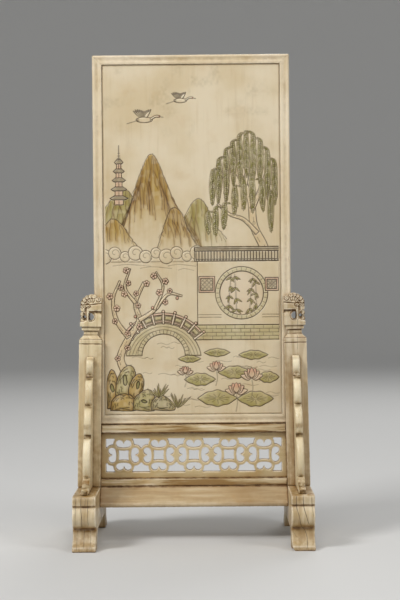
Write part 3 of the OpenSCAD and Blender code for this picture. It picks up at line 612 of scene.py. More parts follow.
# Levels above the foot in mm, each with a strength.
BRACKET_SPOTS = ((74.6, 0.5), (63.4, 0.9), (47.6, 0.6), (36.4, 0.6), (30.8, 0.9))
NOTCH_DIRT = ((63.2, 1.0), (47.6, 0.5), (30.8, 1.0))


def behind_front(points):
    """How far each point of a bracket lies behind the foremost point at its height."""
    step, low = 0.4, points[:, 2].min()
    row = np.round((points[:, 2] - low) / step).astype(int)
    front = np.zeros(row.max() + 1)
    np.maximum.at(front, row, np.abs(points[:, 1]))
    return np.interp(points[:, 2], low + step * np.arange(len(front)), front) - np.abs(points[:, 1])


def rounded_front(points, normals):
    """A bracket's shaped edge, rubbed round from side to side."""
    above = points[:, 2] - FOOT_TOP
    aside = np.abs(np.abs(points[:, 0]) - POST_X + above * math.tan(SPLAY))
    rounding = 0.9 * np.clip(aside / BRACKET_HALF, 0, 1) ** 2.5
    cut = points.copy()
    cut[:, 1] -= np.sign(points[:, 1]) * np.maximum(0, rounding - behind_front(points))
    return cut


def bracket_stain(points, normals):
    """Brown spots in the notches of a bracket's edge, and up its toe."""
    above = points[:, 2] - FOOT_TOP
    spots = sum(share * dip(np.abs(above - level), 0.5, 1.8) for level, share in BRACKET_SPOTS)
    toe = 1.2 * dip(np.abs(above - 3.0), 2.4, 4.0)
    facing = step_up(np.abs(normals[:, 1]), 0.25, 0.7)
    return spots * facing + toe * np.maximum(facing, step_up(normals[:, 2], 0.3, 0.7))


def bracket_grime(points):
    """Dirt packed into the notches, and painted light: no crease dark on the belly's shadowed underside."""
    above = points[:, 2] - FOOT_TOP
    notches = sum(share * dip(np.abs(above - level), 0.5, 1.0) for level, share in NOTCH_DIRT)
    # The negative term takes the crease dark off the belly's underside, easing its real shadow.
    toe = 0.6 * dip(np.abs(above - 2.8), 1.6, 2.0) - 0.8 * dip(np.abs(above - 7.3), 0.8, 1.2)
    return (notches + toe) * dip(behind_front(points), 0.6, 0.8)


# %% Stain and dirt of feet, aprons and rails
SCROLL_CREASE, TOE_CREASE, TOE_TOP = 24.8, 12.0, 10.5
LEFT_FILM, RIGHT_FILM = 0.55, 0.36


def foot_stain(points, normals):
    """Brown in the creases of a foot's scrolled ends, darker toes, and a film of grime on its top."""
    height, ends = points[:, 2], step_up(np.abs(points[:, 1]), 36, 39)
    scroll = 0.7 * dip(np.abs(height - SCROLL_CREASE), 0.15, 0.9)
    toe = 0.85 * dip(np.abs(height - TOE_CREASE), 0.4, 2.2)
    # The toes are darker, the left foot's more than the right's.
    film = np.where(points[:, 0] < 0, LEFT_FILM, RIGHT_FILM) * dip(height, TOE_TOP, 1.5)
    film = film + 0.3 * step_up(height, 24, 26)
    top = 0.6 * step_up(normals[:, 2], 0.7, 0.95) * step_up(height, 18, 22)
    return (scroll + toe + film) * ends + top


def apron_stain(points, normals):
    """A little more brown along an apron's lower half."""
    return 0.2 * dip(points[:, 2] - points[:, 2].min(), 5, 5)


RIM_SOFT = 0.4
CLEAN = -RIM_SOFT


def rim_grime(node, low, high):
    """Old dirt and painted shade along a slip's lower and upper edge, so many mm up and down. CLEAN is none.
    """
    bottom, top = (corner.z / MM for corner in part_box(node))

    def film(points):
        lower = dip(points[:, 2] - bottom, low, RIM_SOFT)
        return np.maximum(lower, dip(top - points[:, 2], high, RIM_SOFT))

    return film


def rubbed_toes(points):
    """The low moulding round a foot's toes was rubbed clean."""
    return -dip(points[:, 2], 6.0, 2.0)


# Dark lines of dirt and painted shade along the rails' edges and along the aprons' tops.
RIM_GRIME = {
    "foot_left": rubbed_toes,
    "foot_right": rubbed_toes,
    "upper_rail": rim_grime("upper_rail", 0.25, 0.1),
    "lower_rail": rim_grime("lower_rail", 0.45, 0.1),
    "apron_front": rim_grime("apron_front", CLEAN, 0.5),
    "apron_back": rim_grime("apron_back", CLEAN, 0.5),
}
print("pieces with dirty rims:", sorted(RIM_GRIME))

# %% Plain pieces of the stand
# Each piece: voxel in mm, rounds of relaxing, finish and stain.
STAND_WEAR = {
    "upper_rail": (0.35, 4, "rail", None),
    "lower_rail": (0.35, 4, "rail", None),
    "apron_front": (0.4, 4, "apron", apron_stain),
    "apron_back": (0.4, 4, "apron", apron_stain),
    "foot_left": (0.36, 4, "foot", foot_stain),
    "foot_right": (0.36, 4, "foot", foot_stain),
    "bracket_front_left": (0.3, 5, "bracket", bracket_stain),
    "bracket_front_right": (0.3, 5, "bracket", bracket_stain),
    "bracket_back_left": (0.3, 5, "bracket", bracket_stain),
    "bracket_back_right": (0.3, 5, "bracket", bracket_stain),
}
LIP_TOP, LIP_RADIUS = 3.1, 1.2
CHIP_TALL, CHIP_DEEP = 6.3, 2.3


def worn_toes(points, normals):
    """The lips of the toes, rubbed round."""
    drop = np.clip((points[:, 2] - LIP_TOP + LIP_RADIUS) / LIP_RADIUS, 0, 1)
    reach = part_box("foot_right")[1].y / MM - LIP_RADIUS * (1 - np.sqrt(1 - drop**2))
    near = points[:, 2] < LIP_TOP + 0.4
    cut = points.copy()
    cut[:, 1] = np.where(near, np.clip(points[:, 1], -reach, reach), points[:, 1])
    return cut


def chipped_toe(points, normals):
    """The right foot's inner front corner, worn round where it meets the table."""
    away = 1 - np.clip(points[:, 2] / CHIP_TALL, 0, 1)
    worn = CHIP_DEEP * (1 - np.sqrt(1 - away**2)) * dip(points[:, 1], -44.0, 4.0)
    cut = worn_toes(points, normals)
    cut[:, 0] = np.maximum(points[:, 0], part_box("foot_right")[0].x / MM + worn)
    return cut


CARVING = {"foot_left": worn_toes, "foot_right": chipped_toe}
for node, (voxel, rounds, look, stain) in STAND_WEAR.items():
    carve = rounded_front if look == "bracket" else CARVING.get(node)
    grime = bracket_grime if look == "bracket" else RIM_GRIME.get(node)
    slip = worn_copy(node, voxel, rounds, carve, stain, grime=grime)
    place_piece(slip, "worn_" + node, node, finish[look])

# %% [markdown]
# ## Pierced board
# The board between the rails is sawn through in a row of rosettes. Its openings come from the solid. It is
# remeshed more finely than the rails, so that the thin bars stay crisp, and the dirt lies along the rails,
# where no cloth reaches, with a painted shadow under the upper rail.

# %% Pierced board
BOARD_LOW, BOARD_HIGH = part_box("lower_rail")[1].z / MM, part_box("upper_rail")[0].z / MM


def board_grime(points):
    """Dirt along the two rails, and a wider band of dirt and painted shadow under the upper one."""
    # A painted shadow of the upper rail, with dirt.
    under = 0.65 * dip(BOARD_HIGH - points[:, 2], 0.4, 1.2)
    return np.maximum(under, 0.7 * dip(points[:, 2] - BOARD_LOW, 0.2, 0.7))


board = worn_copy("pierced_board", 0.26, 4, grime=board_grime)
place_piece(board, "worn_pierced_board", "pierced_board", finish["fret"])

# %% [markdown]
# ## Posts with lion heads
# Each post leans in a little and ends in a lion's head that looks outwards, with a pierced mouth. The
# solid has the head's outline, its openings and its eyes. The carver then cuts the mane, brow, lids, lips
# and teeth into that block. Here the points of the head are pushed in by depth maps: one for the broad
# sides, which are seen from the front and the back, and one for the face, which is seen from the side.
# Boolean cuts would leave hard, even edges. Pushed points keep the soft slopes of a worn carving.

# %% Where the heads are
HEAD_TALL, HEAD_HALF = 16.4, 6.25
HEAD_LOW = (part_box("post_right")[1].z / MM - FOOT_TOP) / math.cos(SPLAY) - HEAD_TALL
# Middle of the skull and of the eye: mm outwards from the post's middle, and up from the head's base.
SKULL = (-0.75, 9.4)
EYE = (1.58, 9.4)
print("heads start", round(HEAD_LOW, 2), "mm above the feet")


def spiral(u, v, centre, radius, winds):
    """The groove of a tight curl, and the cut round it."""
    reach = np.hypot(u - centre[0], v - centre[1])
    turn = np.arctan2(v - centre[1], u - centre[0])
    groove = 1 - step_up(np.abs(np.sin(turn / 2 + math.pi * winds * reach / radius)), 0.1, 0.6)
    return groove * dip(reach, radius - 0.3, 0.3), dip(np.abs(reach - radius), 0.05, 0.35)


# %% Depth of the carving on the broad sides
MANE_TURNS = np.radians((0, 20, 40, 60, 80, 100))
# Each curl: its middle and its radius in mm.
MANE_CURLS = [
    (SKULL[0] + 5.65 * math.cos(turn), SKULL[1] + 5.65 * math.sin(turn), 1.05 + 0.08 * (i % 3))
    for i, turn in enumerate(MANE_TURNS)
]
MANE_GAPS = np.append(MANE_TURNS, math.radians(120)) - math.radians(10)
# Two more are at the lips, and one is at the back of the mane.
FURTHER_CURLS = [(4.75, 4.9, 1.2), (4.75, 1.5, 1.15), (-4.3, 13.4, 1.3)]
print("curls on each side of a head:", len(MANE_CURLS + FURTHER_CURLS))


def max_of(layers):
    """The deepest of several cuts at each point."""
    return np.max(list(layers), axis=0)


def side_depth(u, v):
    """How deep the carver cut, seen from the front: u outwards, v upwards from the head's base."""
    reach = np.hypot(u - SKULL[0], v - SKULL[1])
    turn = np.arctan2(v - SKULL[1], u - SKULL[0])
    mane = step_up(reach, 1.7, 2.3) * step_up(v, 9.9, 10.6)
    sway = 0.05 * np.sin(1.4 * reach)
    locks = max_of(dip(np.abs(turn + sway - gap) * reach, 0.08, 0.3) for gap in MANE_GAPS)
    hairs = max_of(dip(np.abs(turn + sway - lock) * reach, 0.02, 0.26) for lock in MANE_TURNS)
    depth = mane * (0.12 + 0.75 * locks + 0.4 * hairs * dip(reach, 4.3, 0.4))
    for u0, v0, radius in MANE_CURLS + FURTHER_CURLS:
        groove, rim = spiral(u, v, (u0, v0), radius, 1.3)
        knob = dip(np.hypot(u - u0, v - v0), radius - 0.2, 0.3)
        depth = depth * (1 - knob) + 0.45 * groove + 0.6 * rim * (1 - knob)
    eye = np.hypot(u - EYE[0], (v - EYE[1]) * 1.3)
    lid = dip(np.abs(eye - 1.45), 0.1, 0.4)
    pupil = dip(np.hypot((u - 1.3) * 0.6, v - 9.1), 0.18, 0.3)
    brow = dip(np.abs(v - 10.2 - 0.12 * np.abs(u - 1.2)), 0.1, 0.35) * dip(np.abs(u + 1.6), 4.4, 0.5)
    ledge = dip(v, 6.5, 0.3) * step_up(v, 2.4, 6.4) ** 2 * dip(u, 0.6, 0.5)
    cheek_half = 1.6 - 0.5 * np.clip(u - 2.2, 0, 3)
    cheek = step_up(u, 1.9, 2.5) * dip(np.abs(v - 7.2), cheek_half, 0.4) * dip(u, 3.3, 0.5)
    jaw = dip(np.abs(np.hypot(u - 0.15, v - 3.3) - 2.75), 0.08, 0.35) * dip(u, 0.6, 0.6)
    bite = dip(np.abs(u - 1.7), 2.4, 0.5) * dip(np.abs(v - 3.3), 1.9, 0.5)
    fang = dip(np.abs(u - 1.7), 0.3 + 0.05 * np.abs(v - 3.3), 0.35)
    depth += 0.5 * lid + 0.7 * pupil + 0.65 * brow + 1.5 * ledge
    return depth + 0.9 * cheek + 0.5 * jaw + 0.8 * bite * (1 - fang)


# %% Depth of the carving on the face and the mane's back
def face_depth(y, u, v):
    """How deep the carver cut, seen from outside: the muzzle stands out, and the mane is cut into knobs."""
    away = np.abs(y)
    muzzle = dip(away, 3.0, 1.6)
    cheeks = 0.9 * (1 - muzzle) * dip(np.abs(v - 6.0), 3.8, 1.0)
    mouth = 0.9 * dip(np.abs(v - 3.9 + 0.1 * away), 0.25, 0.4) * dip(away, 3.6, 0.8)
    nostrils = 0.8 * dip(np.hypot(away - 1.3, v - 7.9), 0.35, 0.4)
    nose = 0.6 * dip(np.abs(np.hypot(away - 1.2, v - 7.9) - 1.3), 0.08, 0.35)
    rows = 1 - step_up(np.abs(np.sin(math.pi * (y + 1.1) / 2.2)), 0.05, 0.55)
    knobs = rows * np.maximum(step_up(v, 9.6, 10.6), dip(v, 2.0, 0.6))
    return (cheeks + mouth + nostrils + nose) * step_up(u, 2.5, 4.5) + 0.75 * knobs


# %% Cuts of a whole post
# Levels below the head in mm, each with a depth.
NECK_LINES = ((-2.6, 0.4), (-4.9, 0.35), (-7.2, 0.3), (-9.6, 0.36), (-12.4, 0.2))


def head_place(points):
    """Where each point of a post lies beside its head: outwards, and upwards from the head's base."""
    out = np.abs(points[:, 0]) - POST_X
    up = points[:, 2] - FOOT_TOP
    u = out * math.cos(SPLAY) + up * math.sin(SPLAY)
    return u, up * math.cos(SPLAY) - out * math.sin(SPLAY) - HEAD_LOW


def neck_grime(points):
    """Dirt and painted shade in the lines scored round the neck."""
    v = head_place(points)[1]
    return 0.85 * max_of(dip(np.abs(v - line), 0.16, 0.3) for line, _ in NECK_LINES)


def carve_heads(points, normals):
    """The carver's cuts on a post: its head from the broad sides and from the face, and its neck's lines."""
    u, v = head_place(points)
    head = step_up(v, 0.15, 0.6)
    broad = head * step_up(np.abs(normals[:, 1]), 0.35, 0.8)
    cut = points.copy()
    cut[:, 1] -= np.sign(points[:, 1]) * side_depth(u, v) * broad
    facing = step_up(np.abs(normals[:, 0]) + normals[:, 2], 0.2, 0.7)
    rest = head * (1 - broad) * face_depth(points[:, 1], u, v) * facing
    cut -= normals * (1, 0, 1) * rest[:, None]
    scored = sum(deep * dip(np.abs(v - line), 0.1, 0.25) for line, deep in NECK_LINES)
    cut -= normals * (1, 1, 0) * scored[:, None]
    # The muzzle is narrower than the skull.
    cut[:, 1] *= 1 - 0.16 * head * step_up(u, 1.5, HEAD_HALF) * dip(v, 8.6, 4.0)
    return cut


# %% Posts
def post_stain(points, normals):
    """Heads turned brown, lower ends darker, and painted shade on the sides that face each other."""
    up = points[:, 2] - FOOT_TOP
    # The sides that face each other, darkened as painted shade.
    inner = step_up(-normals[:, 0] * np.sign(points[:, 0]), 0.5, 0.9)
    # A brown strip on the side next to the panel, about half way up: the bracket's painted shadow and a
    # streak.
    beside = 0.36 * dip(np.abs(head_place(points)[0] + 4.6), 1.4, 1.4) * dip(np.abs(up - 62), 12, 12)
    return 0.2 * step_up(up, HEAD_LOW, HEAD_LOW + 3) + 0.45 * dip(up, 12, 40) + 0.5 * inner + beside


for node, look in (("post_left", "left post"), ("post_right", "right post")):
    post = worn_copy(node, 0.24, 3, carve_heads, post_stain, grime=neck_grime)
    place_piece(post, "carved_" + node, node, finish[look])

# %% [markdown]
# ## Frame of the panel
# The frame's four bars meet in mitres that are glued so tightly that no line shows. Wear would round the
# two sides of such a joint and open it, so the points next to the mitres aren't relaxed, and the bars'
# edges are drawn up to the joint.

# %% Where the mitres are
FRAME_BARS = {
    "panel_stile_left": "stile",
    "panel_stile_right": "stile",
    "panel_rail_top": "bar",
    "panel_rail_bottom": "bar",
}
FRAME_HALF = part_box("panel_stile_right")[1].x / MM
FRAME_LOW, FRAME_HIGH = (corner.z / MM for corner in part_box("panel_stile_right"))


def near_mitre(points):
    """1 beside the four mitres, falling to 0 a little way off."""
    inward = FRAME_HALF - np.abs(points[:, 0])
    off = np.minimum(np.abs(inward - points[:, 2] + FRAME_LOW), np.abs(inward - FRAME_HIGH + points[:, 2]))
    return dip(off, 0.9, 0.8)


print("frame:", round(2 * FRAME_HALF, 2), "mm wide, from", round(FRAME_LOW, 2), "to", round(FRAME_HIGH, 2))

# %% Wear of the frame
MITRE_FROM, MITRE_TO, MITRE_OPEN = -0.3, 0.6, 0.24


def rail_line(points):
    """The dark line where the panel stands on the upper rail."""
    return dip(points[:, 2] - FRAME_LOW, 0.3, 0.35)


def shut_mitres(upright):
    """Draw the edges of a bar up to its mitres, which the remeshing had left open."""
    side = (1 if upright else -1) / math.sqrt(2)

    def carve(points, normals):
        cut = points.copy()
        for level, way in ((FRAME_LOW, 1), (FRAME_HIGH, -1)):
            inward = FRAME_HALF - np.abs(cut[:, 0])
            off = (way * (cut[:, 2] - level) - inward) * side
            near = (off > MITRE_FROM) & (off < MITRE_TO)
            kept = np.maximum(0, off - MITRE_OPEN * (1 - off / MITRE_TO))
            step = np.maximum(np.where(near, off - kept, 0), 0) * side
            cut[:, 2] -= way * step
            cut[:, 0] -= np.sign(cut[:, 0]) * step
        return cut

    return carve


def frame_stain(points, normals):
    """Faint brown patches, and a darker bar at the top, where the panel is lifted."""
    patches = 0.12 * step_up(waves(points, 28.0, 5), 0.55, 0.9)
    return patches + 0.16 * step_up(points[:, 2], FRAME_HIGH - 7, FRAME_HIGH - 5)


# %% Frame of the panel
for node, look in FRAME_BARS.items():
    shut = shut_mitres("stile" in node)
    bar = worn_copy(node, 0.28, 3, shut, frame_stain, closed_joint=near_mitre, grime=rail_line)
    place_piece(bar, "worn_" + node, node, finish[look])
    bar.set_sharp_from_angle(angle=math.radians(55))

# %% [markdown]
# ## The plaque's picture
# The plaque is carved in low relief: a garden with hills, a willow, a round gate, a bridge, a plum tree and
# a lotus pond. The carver lowers the ground, rounds the shapes, cuts their outlines with a graver, rubs ink
# into the cuts and washes the shapes with thin colour. Sculpting by hand can't be repeated by a script, so
# the picture is drawn on a fine grid of heights: shapes are laid from the back to the front, each over the
# last. The main shapes are the ones that the solid has, at the same three heights.

# %% Size of the plaque's field
TONGUE_REACH, TONGUE_HALF = 2.7, 1.2
FILL_REACH, FILL_HALF = 0.6, 2.48
FAR, MIDDLE, NEAR = 0.3, 0.4, 0.54
plaque_low, plaque_high = (np.array(corner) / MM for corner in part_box("plaque"))
FACE_Y = -plaque_high[1]
FIELD_HALF = plaque_high[0] - TONGUE_REACH
FIELD_LOW = plaque_low[2] + TONGUE_REACH
FIELD_TALL = plaque_high[2] - TONGUE_REACH - FIELD_LOW
print("field of the plaque in mm:", round(2 * FIELD_HALF, 2), "by", round(FIELD_TALL, 2))

# %% The drawing ground
GRID_STEP = 0.2
xs = np.linspace(-FIELD_HALF, FIELD_HALF, round(2 * FIELD_HALF / GRID_STEP) + 1)
zs = np.linspace(0, FIELD_TALL, round(FIELD_TALL / GRID_STEP) + 1)
# Heights in mm, ink from 0 to 1, and a wash that multiplies the cream. The hand is seeded chance.
height = np.zeros((len(zs), len(xs)))
ink = np.zeros_like(height)
wash = np.ones((*height.shape, 3))
hand = np.random.default_rng(41)
print("grid of the picture:", height.shape)


def mottle(x, z, wide, tall, seed):
    """Soft blotches from 0 to 1, each about so wide and so tall."""
    draw = np.random.default_rng(seed).random((64, 64))
    u, v = x / wide % 62, z / tall % 62
    i, j = u.astype(int), v.astype(int)
    s, t = step_up(u - i, 0, 1), step_up(v - j, 0, 1)
    low = draw[j, i] * (1 - s) + draw[j, i + 1] * s
    return low * (1 - t) + (draw[j + 1, i] * (1 - s) + draw[j + 1, i + 1] * s) * t


# %% Lines and outlines
def curve(points, steps=7):
    """A smooth line through a few chosen points."""
    line = np.array(points, float)
    line = np.vstack([2 * line[0] - line[1], line, 2 * line[-1] - line[-2]])
    share = np.linspace(0, 1, steps, endpoint=False)[:, None]
    parts = []
    for a, b, c, d in zip(line, line[1:], line[2:], line[3:]):
        bend = (2 * a - 5 * b + 4 * c - d) * share**2 + (3 * b - a - 3 * c + d) * share**3
        parts.append(b + ((c - a) * share + bend) / 2)
    return np.vstack([*parts, line[-2]])


def ring(centre, wide, tall, count=28, start=0.0, end=2 * math.pi):
    """Points round an ellipse, or along a part of it."""
    turn = np.linspace(start, end, count)
    return np.column_stack([centre[0] + wide * np.cos(turn), centre[1] + tall * np.sin(turn)])


def box(left, low, right, high):
    """The corners of an upright rectangle."""
    return [(left, low), (right, low), (right, high), (left, high)]


def closed(points):
    """An outline that ends where it starts."""
    return np.vstack([points, points[:1]])


def sides_of(line):
    """Unit steps to the side at each point of a line."""
    side = np.gradient(line, axis=0)[:, ::-1] * (1, -1)
    return side / np.linalg.norm(side, axis=1)[:, None]


# %% Measuring on the grid
def near_view(points, reach):
    """The part of the grid round a line, and its coordinates."""
    low, high = points.min(0) - reach, points.max(0) + reach
    rows = slice(*np.searchsorted(zs, (low[1], high[1])))
    columns = slice(*np.searchsorted(xs, (low[0], high[0])))
    return (rows, columns), *np.meshgrid(xs[columns], zs[rows])


def distance_to(points, x, z):
    """How far each grid point is from a line."""
    best = np.full(x.shape, 1e6)
    for (ax, az), (bx, bz) in zip(points, points[1:]):
        dx, dz = bx - ax, bz - az
        share = np.clip(((x - ax) * dx + (z - az) * dz) / (dx * dx + dz * dz + 1e-9), 0, 1)
        best = np.minimum(best, (x - ax - share * dx) ** 2 + (z - az - share * dz) ** 2)
    return np.sqrt(best)


def within(points, x, z):
    """Which grid points lie inside a closed outline."""
    odd = np.zeros(x.shape, bool)
    for (ax, az), (bx, bz) in zip(points, points[1:]):
        if az != bz:
            odd ^= ((az > z) != (bz > z)) & (x < ax + (z - az) * (bx - ax) / (bz - az))
    return odd


# %% Three tools: the graver, the raised shape and the brush
def engrave(points, width=0.42, depth=0.22, dark=0.95):
    """Cut a thin inked line, so wide and so deep in mm. A negative depth leaves a fine ridge."""
    points = np.array(points, float)
    view, x, z = near_view(points, 2 * width)
    cut = 1 - step_up(distance_to(points, x, z), 0.15 * width, width)
    height[view] -= depth * cut
    ink[view] = np.maximum(ink[view], dark * cut)


def lay(points, rise, colour=(1, 1, 1), share=0.0, soft=0.9, dark=0.95, fine=0.42):
    """Raise a closed shape over what is there, rounded over a soft edge, then wash it and ink its outline."""
    points = closed(np.array(points, float))
    view, x, z = near_view(points, 1.0)
    inward = distance_to(points, x, z) * np.where(within(points, x, z), 1, -1)
    cover = step_up(inward, -0.8 * GRID_STEP, 0.8 * GRID_STEP)
    pillow = rise * (0.4 + 0.6 * np.sin(np.clip(inward / soft, 0, 1) * math.pi / 2))
    amount = share(x, z) if callable(share) else np.full(x.shape, share)
    tint = 1 + amount[..., None] * (np.array(colour) - 1)
    height[view] += cover * (pillow - height[view])
    ink[view] *= 1 - cover
    wash[view] += cover[..., None] * (tint - wash[view])
    if dark:
        engrave(points, fine, dark=dark)


def shade(points, reach, colour, share):
    """Brush a soft tint along a line, where a wash is already laid."""
    points = np.array(points, float)
    view, x, z = near_view(points, reach)
    amount = share * (1 - step_up(distance_to(points, x, z), 0, reach))
    amount *= step_up(1 - wash[view].mean(2), 0.02, 0.25)
    wash[view] *= 1 + amount[..., None] * (np.array(colour) - 1)


def so_far(step):
    """Say how much of the field is raised and how much is inked."""
    raised, inked = 100 * (height > 0.1).mean(), 100 * (ink > 0.3).mean()
    print(step, "done, raised:", round(raised, 1), "%, inked:", round(inked, 1), "%")


# %% [markdown]
# ### The far half: hills, tower, clouds and cranes
# What is far away is carved lowest and drawn with the thinnest lines. A hill gets a wash that thins towards
# its foot, as a loaded brush does, and folds that run down from its ridge. Noise alone would give hills
# without a shape, so each ridge is a curve through a few chosen points.

# %% Hills
OCHRE_WASH, OLIVE, MOSS = (0.62, 0.47, 0.12), (0.50, 0.50, 0.19), (0.34, 0.36, 0.15)
ROSE, BARK, SLATE, UMBER = (0.82, 0.46, 0.40), (0.92, 0.82, 0.66), (0.32, 0.29, 0.24), (0.60, 0.46, 0.22)
WILLOW = (0.40, 0.42, 0.10)
HILL_FOOT = 89.0


def hill(ridge, colour, strokes, seed):
    """A hill with a streaky wash that thins towards its foot, and folds running down from its ridge."""
    line = curve(ridge, 9)
    line = line + hand.normal(0, 0.12, line.shape)
    top = line[:, 1].max()
    outline = np.vstack([line, (line[-1][0], HILL_FOOT), (line[0][0], HILL_FOOT)])

    def streaky(x, z):
        brush = 0.62 + 0.38 * mottle(x, z, 1.3, 14.0, seed)
        return brush * (0.12 + 0.86 * step_up(z, HILL_FOOT + 3, top - 0.25 * (top - HILL_FOOT)))

    lay(outline, FAR, colour, streaky, 2.0, 0)
    engrave(line, 0.42, 0.15, 0.62)
    peak = line[line[:, 1].argmax()]
    for start in line[2 : -2 : max(1, len(line) // strokes)]:
        lean = 0.35 * (start[0] - peak[0]) / 10 + hand.normal(0, 0.05)
        long = (start[1] - HILL_FOOT) * hand.uniform(0.25, 0.7)
        stops = (0.04, 0.3, 0.55, 0.8, 1)
        fold = curve([start + (lean * long * s + hand.normal(0, 0.4), -long * s) for s in stops])
        shade(fold + (0.6, 0), 1.7, UMBER, 0.5 * step_up(long, 4, 14))
        engrave(fold, 0.34, 0.14, 0.34)
        if long > 14:
            spur = curve([fold[12], fold[16] + (1.8, -1.0), fold[20] + (3.0, -3.5), fold[24] + (3.4, -7)])
            shade(spur, 1.4, UMBER, 0.4)
            engrave(spur, 0.34, 0.12, 0.3)


# Each hill: its ridge, wash, number of folds and seed.
HILLS = (
    ([(-51, 118), (-44, 127), (-38, 130), (-31, 121), (-26, 112)], OLIVE, 10, 51),
    ([(-9, 100), (-3, 116), (3, 124), (8, 121), (13, 110), (20, 101)], OLIVE, 11, 52),
    (
        [
            (-41, 104), (-35, 122), (-32, 133), (-28, 143), (-24, 150),
            (-20, 147), (-13, 130), (-5, 112), (0, 102),
        ],
        OCHRE_WASH, 20, 53,
    ),
    ([(-20, 96), (-15, 112), (-11, 119), (-6, 116), (-2, 106), (3, 97)], OCHRE_WASH, 12, 54),
    ([(-51, 108), (-46, 113), (-40, 109), (-34, 100), (-28, 93)], OCHRE_WASH, 10, 55),
)
for slope in HILLS:
    hill(*slope)
so_far("hills")


# %% Pagoda on the far slope
def pagoda(x, z, storeys, wide, tall):
    """A small tower of shrinking storeys with upturned eaves."""
    for i in range(storeys):
        half = wide * (1 - 0.13 * i) / 2
        low = z + i * tall
        lay(box(x - 0.6 * half, low, x + 0.6 * half, low + tall), MIDDLE, ROSE, 0.45, 0.4, 0.7)
        engrave([(x, low + 0.3), (x, low + 0.55 * tall)], 0.5, 0.15, 0.6)
        eaves = low + 0.55 * tall
        roof = [(-1.25, 0.9), (-0.8, 0), (0.8, 0), (1.25, 0.9), (0.5, 0.5 * tall), (-0.5, 0.5 * tall)]
        lay([(x + half * u, eaves + v) for u, v in roof], MIDDLE, SLATE, 0.75, 0.4, 0.85)
    top = z + storeys * tall
    engrave([(x, top), (x, top + 1.6 * tall)], 0.45, -0.15, 0.85)
    for i in range(3):
        across = 0.8 - 0.2 * i
        engrave([(x - across, top + 1 + 1.4 * i), (x + across, top + 1 + 1.4 * i)], 0.42, -0.1, 0.8)


pagoda(-42, 121, 5, 8.4, 5.2)
so_far("tower")


# %% Bank of clouds under the hills
CLOUD_LOW, CLOUD_RIGHT, CLOUD_COUNT = 88.0, 3.0, 9


def cloud(x, z, size):
    """One curled head of cloud."""
    lay(ring((x, z), size, size, 30), MIDDLE, OCHRE_WASH, 0.06, 0.9, 0.55)
    turns = np.linspace(-0.6, 4.6, 18)
    reach = size * (0.74 - 0.12 * turns)
    curl = np.column_stack([x + reach * np.cos(turns), z + reach * np.sin(turns)])
    engrave(curl, 0.34, 0.14, 0.42)


lay(box(-FIELD_HALF, CLOUD_LOW, CLOUD_RIGHT, CLOUD_LOW + 4), MIDDLE, OCHRE_WASH, 0.04, 0.6, 0)
for i in range(CLOUD_COUNT + 1):
    across = FIELD_HALF + CLOUD_RIGHT
    cloud(i * across / CLOUD_COUNT - FIELD_HALF, CLOUD_LOW + 3 + 2 * (i % 2), 4.2 - 0.6 * (i % 3))
for x, z, long in ((-46, 85.6, 22), (-30, 84.2, 18), (-14, 85.4, 16), (-8, 83.0, 9)):
    engrave(curve([(x, z), (x + 0.4 * long, z + 0.8), (x + long, z - 0.3)]), 0.34, 0.12, 0.38)
so_far("clouds")


# %% Flying cranes
def blade(root, turn, long, half):
    """A slim pointed shape: a feather, leaf or petal."""
    along = np.array([math.cos(turn), math.sin(turn)]) * long
    across = np.array([-along[1], along[0]]) / long * half
    root = np.array(root, float)
    return curve([root, root + 0.35 * along + across, root + along, root + 0.35 * along - across, root], 4)


def crane(x, z, size):
    """A crane in flight: fanned wings, a drawn-out neck and trailing legs."""
    engrave([(x - 1.6 * size, z - 0.1 * size), (x - 4.0 * size, z - 0.8 * size)], 0.4, -0.15, 0.7)
    root = (x, z + 0.2 * size)
    for turn in np.linspace(2.5, 0.95, 11):
        long = size * (2.5 + 0.7 * math.sin(3 * turn))

        def tipped(gx, gz, reach=long):
            return 0.9 * step_up(np.hypot(gx - root[0], gz - root[1]), 0.62 * reach, 0.85 * reach)

        lay(blade(root, turn, long, 0.34 * size), FAR, SLATE, tipped, 0.4, 0.65)

    def dark_tail(gx, gz):
        return 0.9 * step_up(x - gx, 0.9 * size, 1.6 * size)

    def red_crown(gx, gz):
        return 0.9 * step_up(gx, x + 3.0 * size, x + 3.5 * size)

    lay(ring((x, z), 1.9 * size, 0.62 * size, 26), FAR, SLATE, dark_tail, 0.7, 0.65)
    neck = [(1.4, 0.35), (2.6, 1.0), (3.6, 0.95), (3.5, 0.6), (2.6, 0.6), (1.4, -0.15)]
    lay(curve([(x + u * size, z + v * size) for u, v in neck], 4), FAR, ROSE, red_crown, 0.4, 0.65)
    engrave([(x + 3.5 * size, z + 0.75 * size), (x + 4.4 * size, z + 0.6 * size)], 0.38, -0.15, 0.85)


crane(-27, 170, 2.5)
crane(-6, 181, 2.0)
so_far("cranes")


# %% [markdown]
# ### The middle: willow, wall and round gate
# The willow's crown is cut as hanging sprays, each with rows of small leaves, because single leaves all
# over would look like grass. The wall is plain plaster with a tiled top, so that the gate, its lattice
# windows and the leaves behind it stand out.

# %% Weeping willow behind the wall
def trunk(spine, thick, thin, rise, colour, share):
    """A tapering trunk with a knotted, inked bark."""
    line = curve(spine)
    side = sides_of(line)
    half = np.linspace(thick, thin, len(line))[:, None] / 2
    lay(np.vstack([line + side * half, (line - side * half)[::-1]]), rise, colour, share, 0.45 * thick, 0.85)
    for i in range(3, len(line) - 2, 3):
        knot = line[i] + side[i] * half[i] * hand.uniform(-0.6, 0.6)
        engrave([knot, knot + (line[i + 1] - line[i]) * 1.6], 0.34, 0.15, 0.45)
        if hand.uniform() < 0.4 and thick > 3:
            engrave(ring(knot, 0.7, 0.9, 10), 0.32, 0.15, 0.5)
    return line


CROWN_X = 31.0


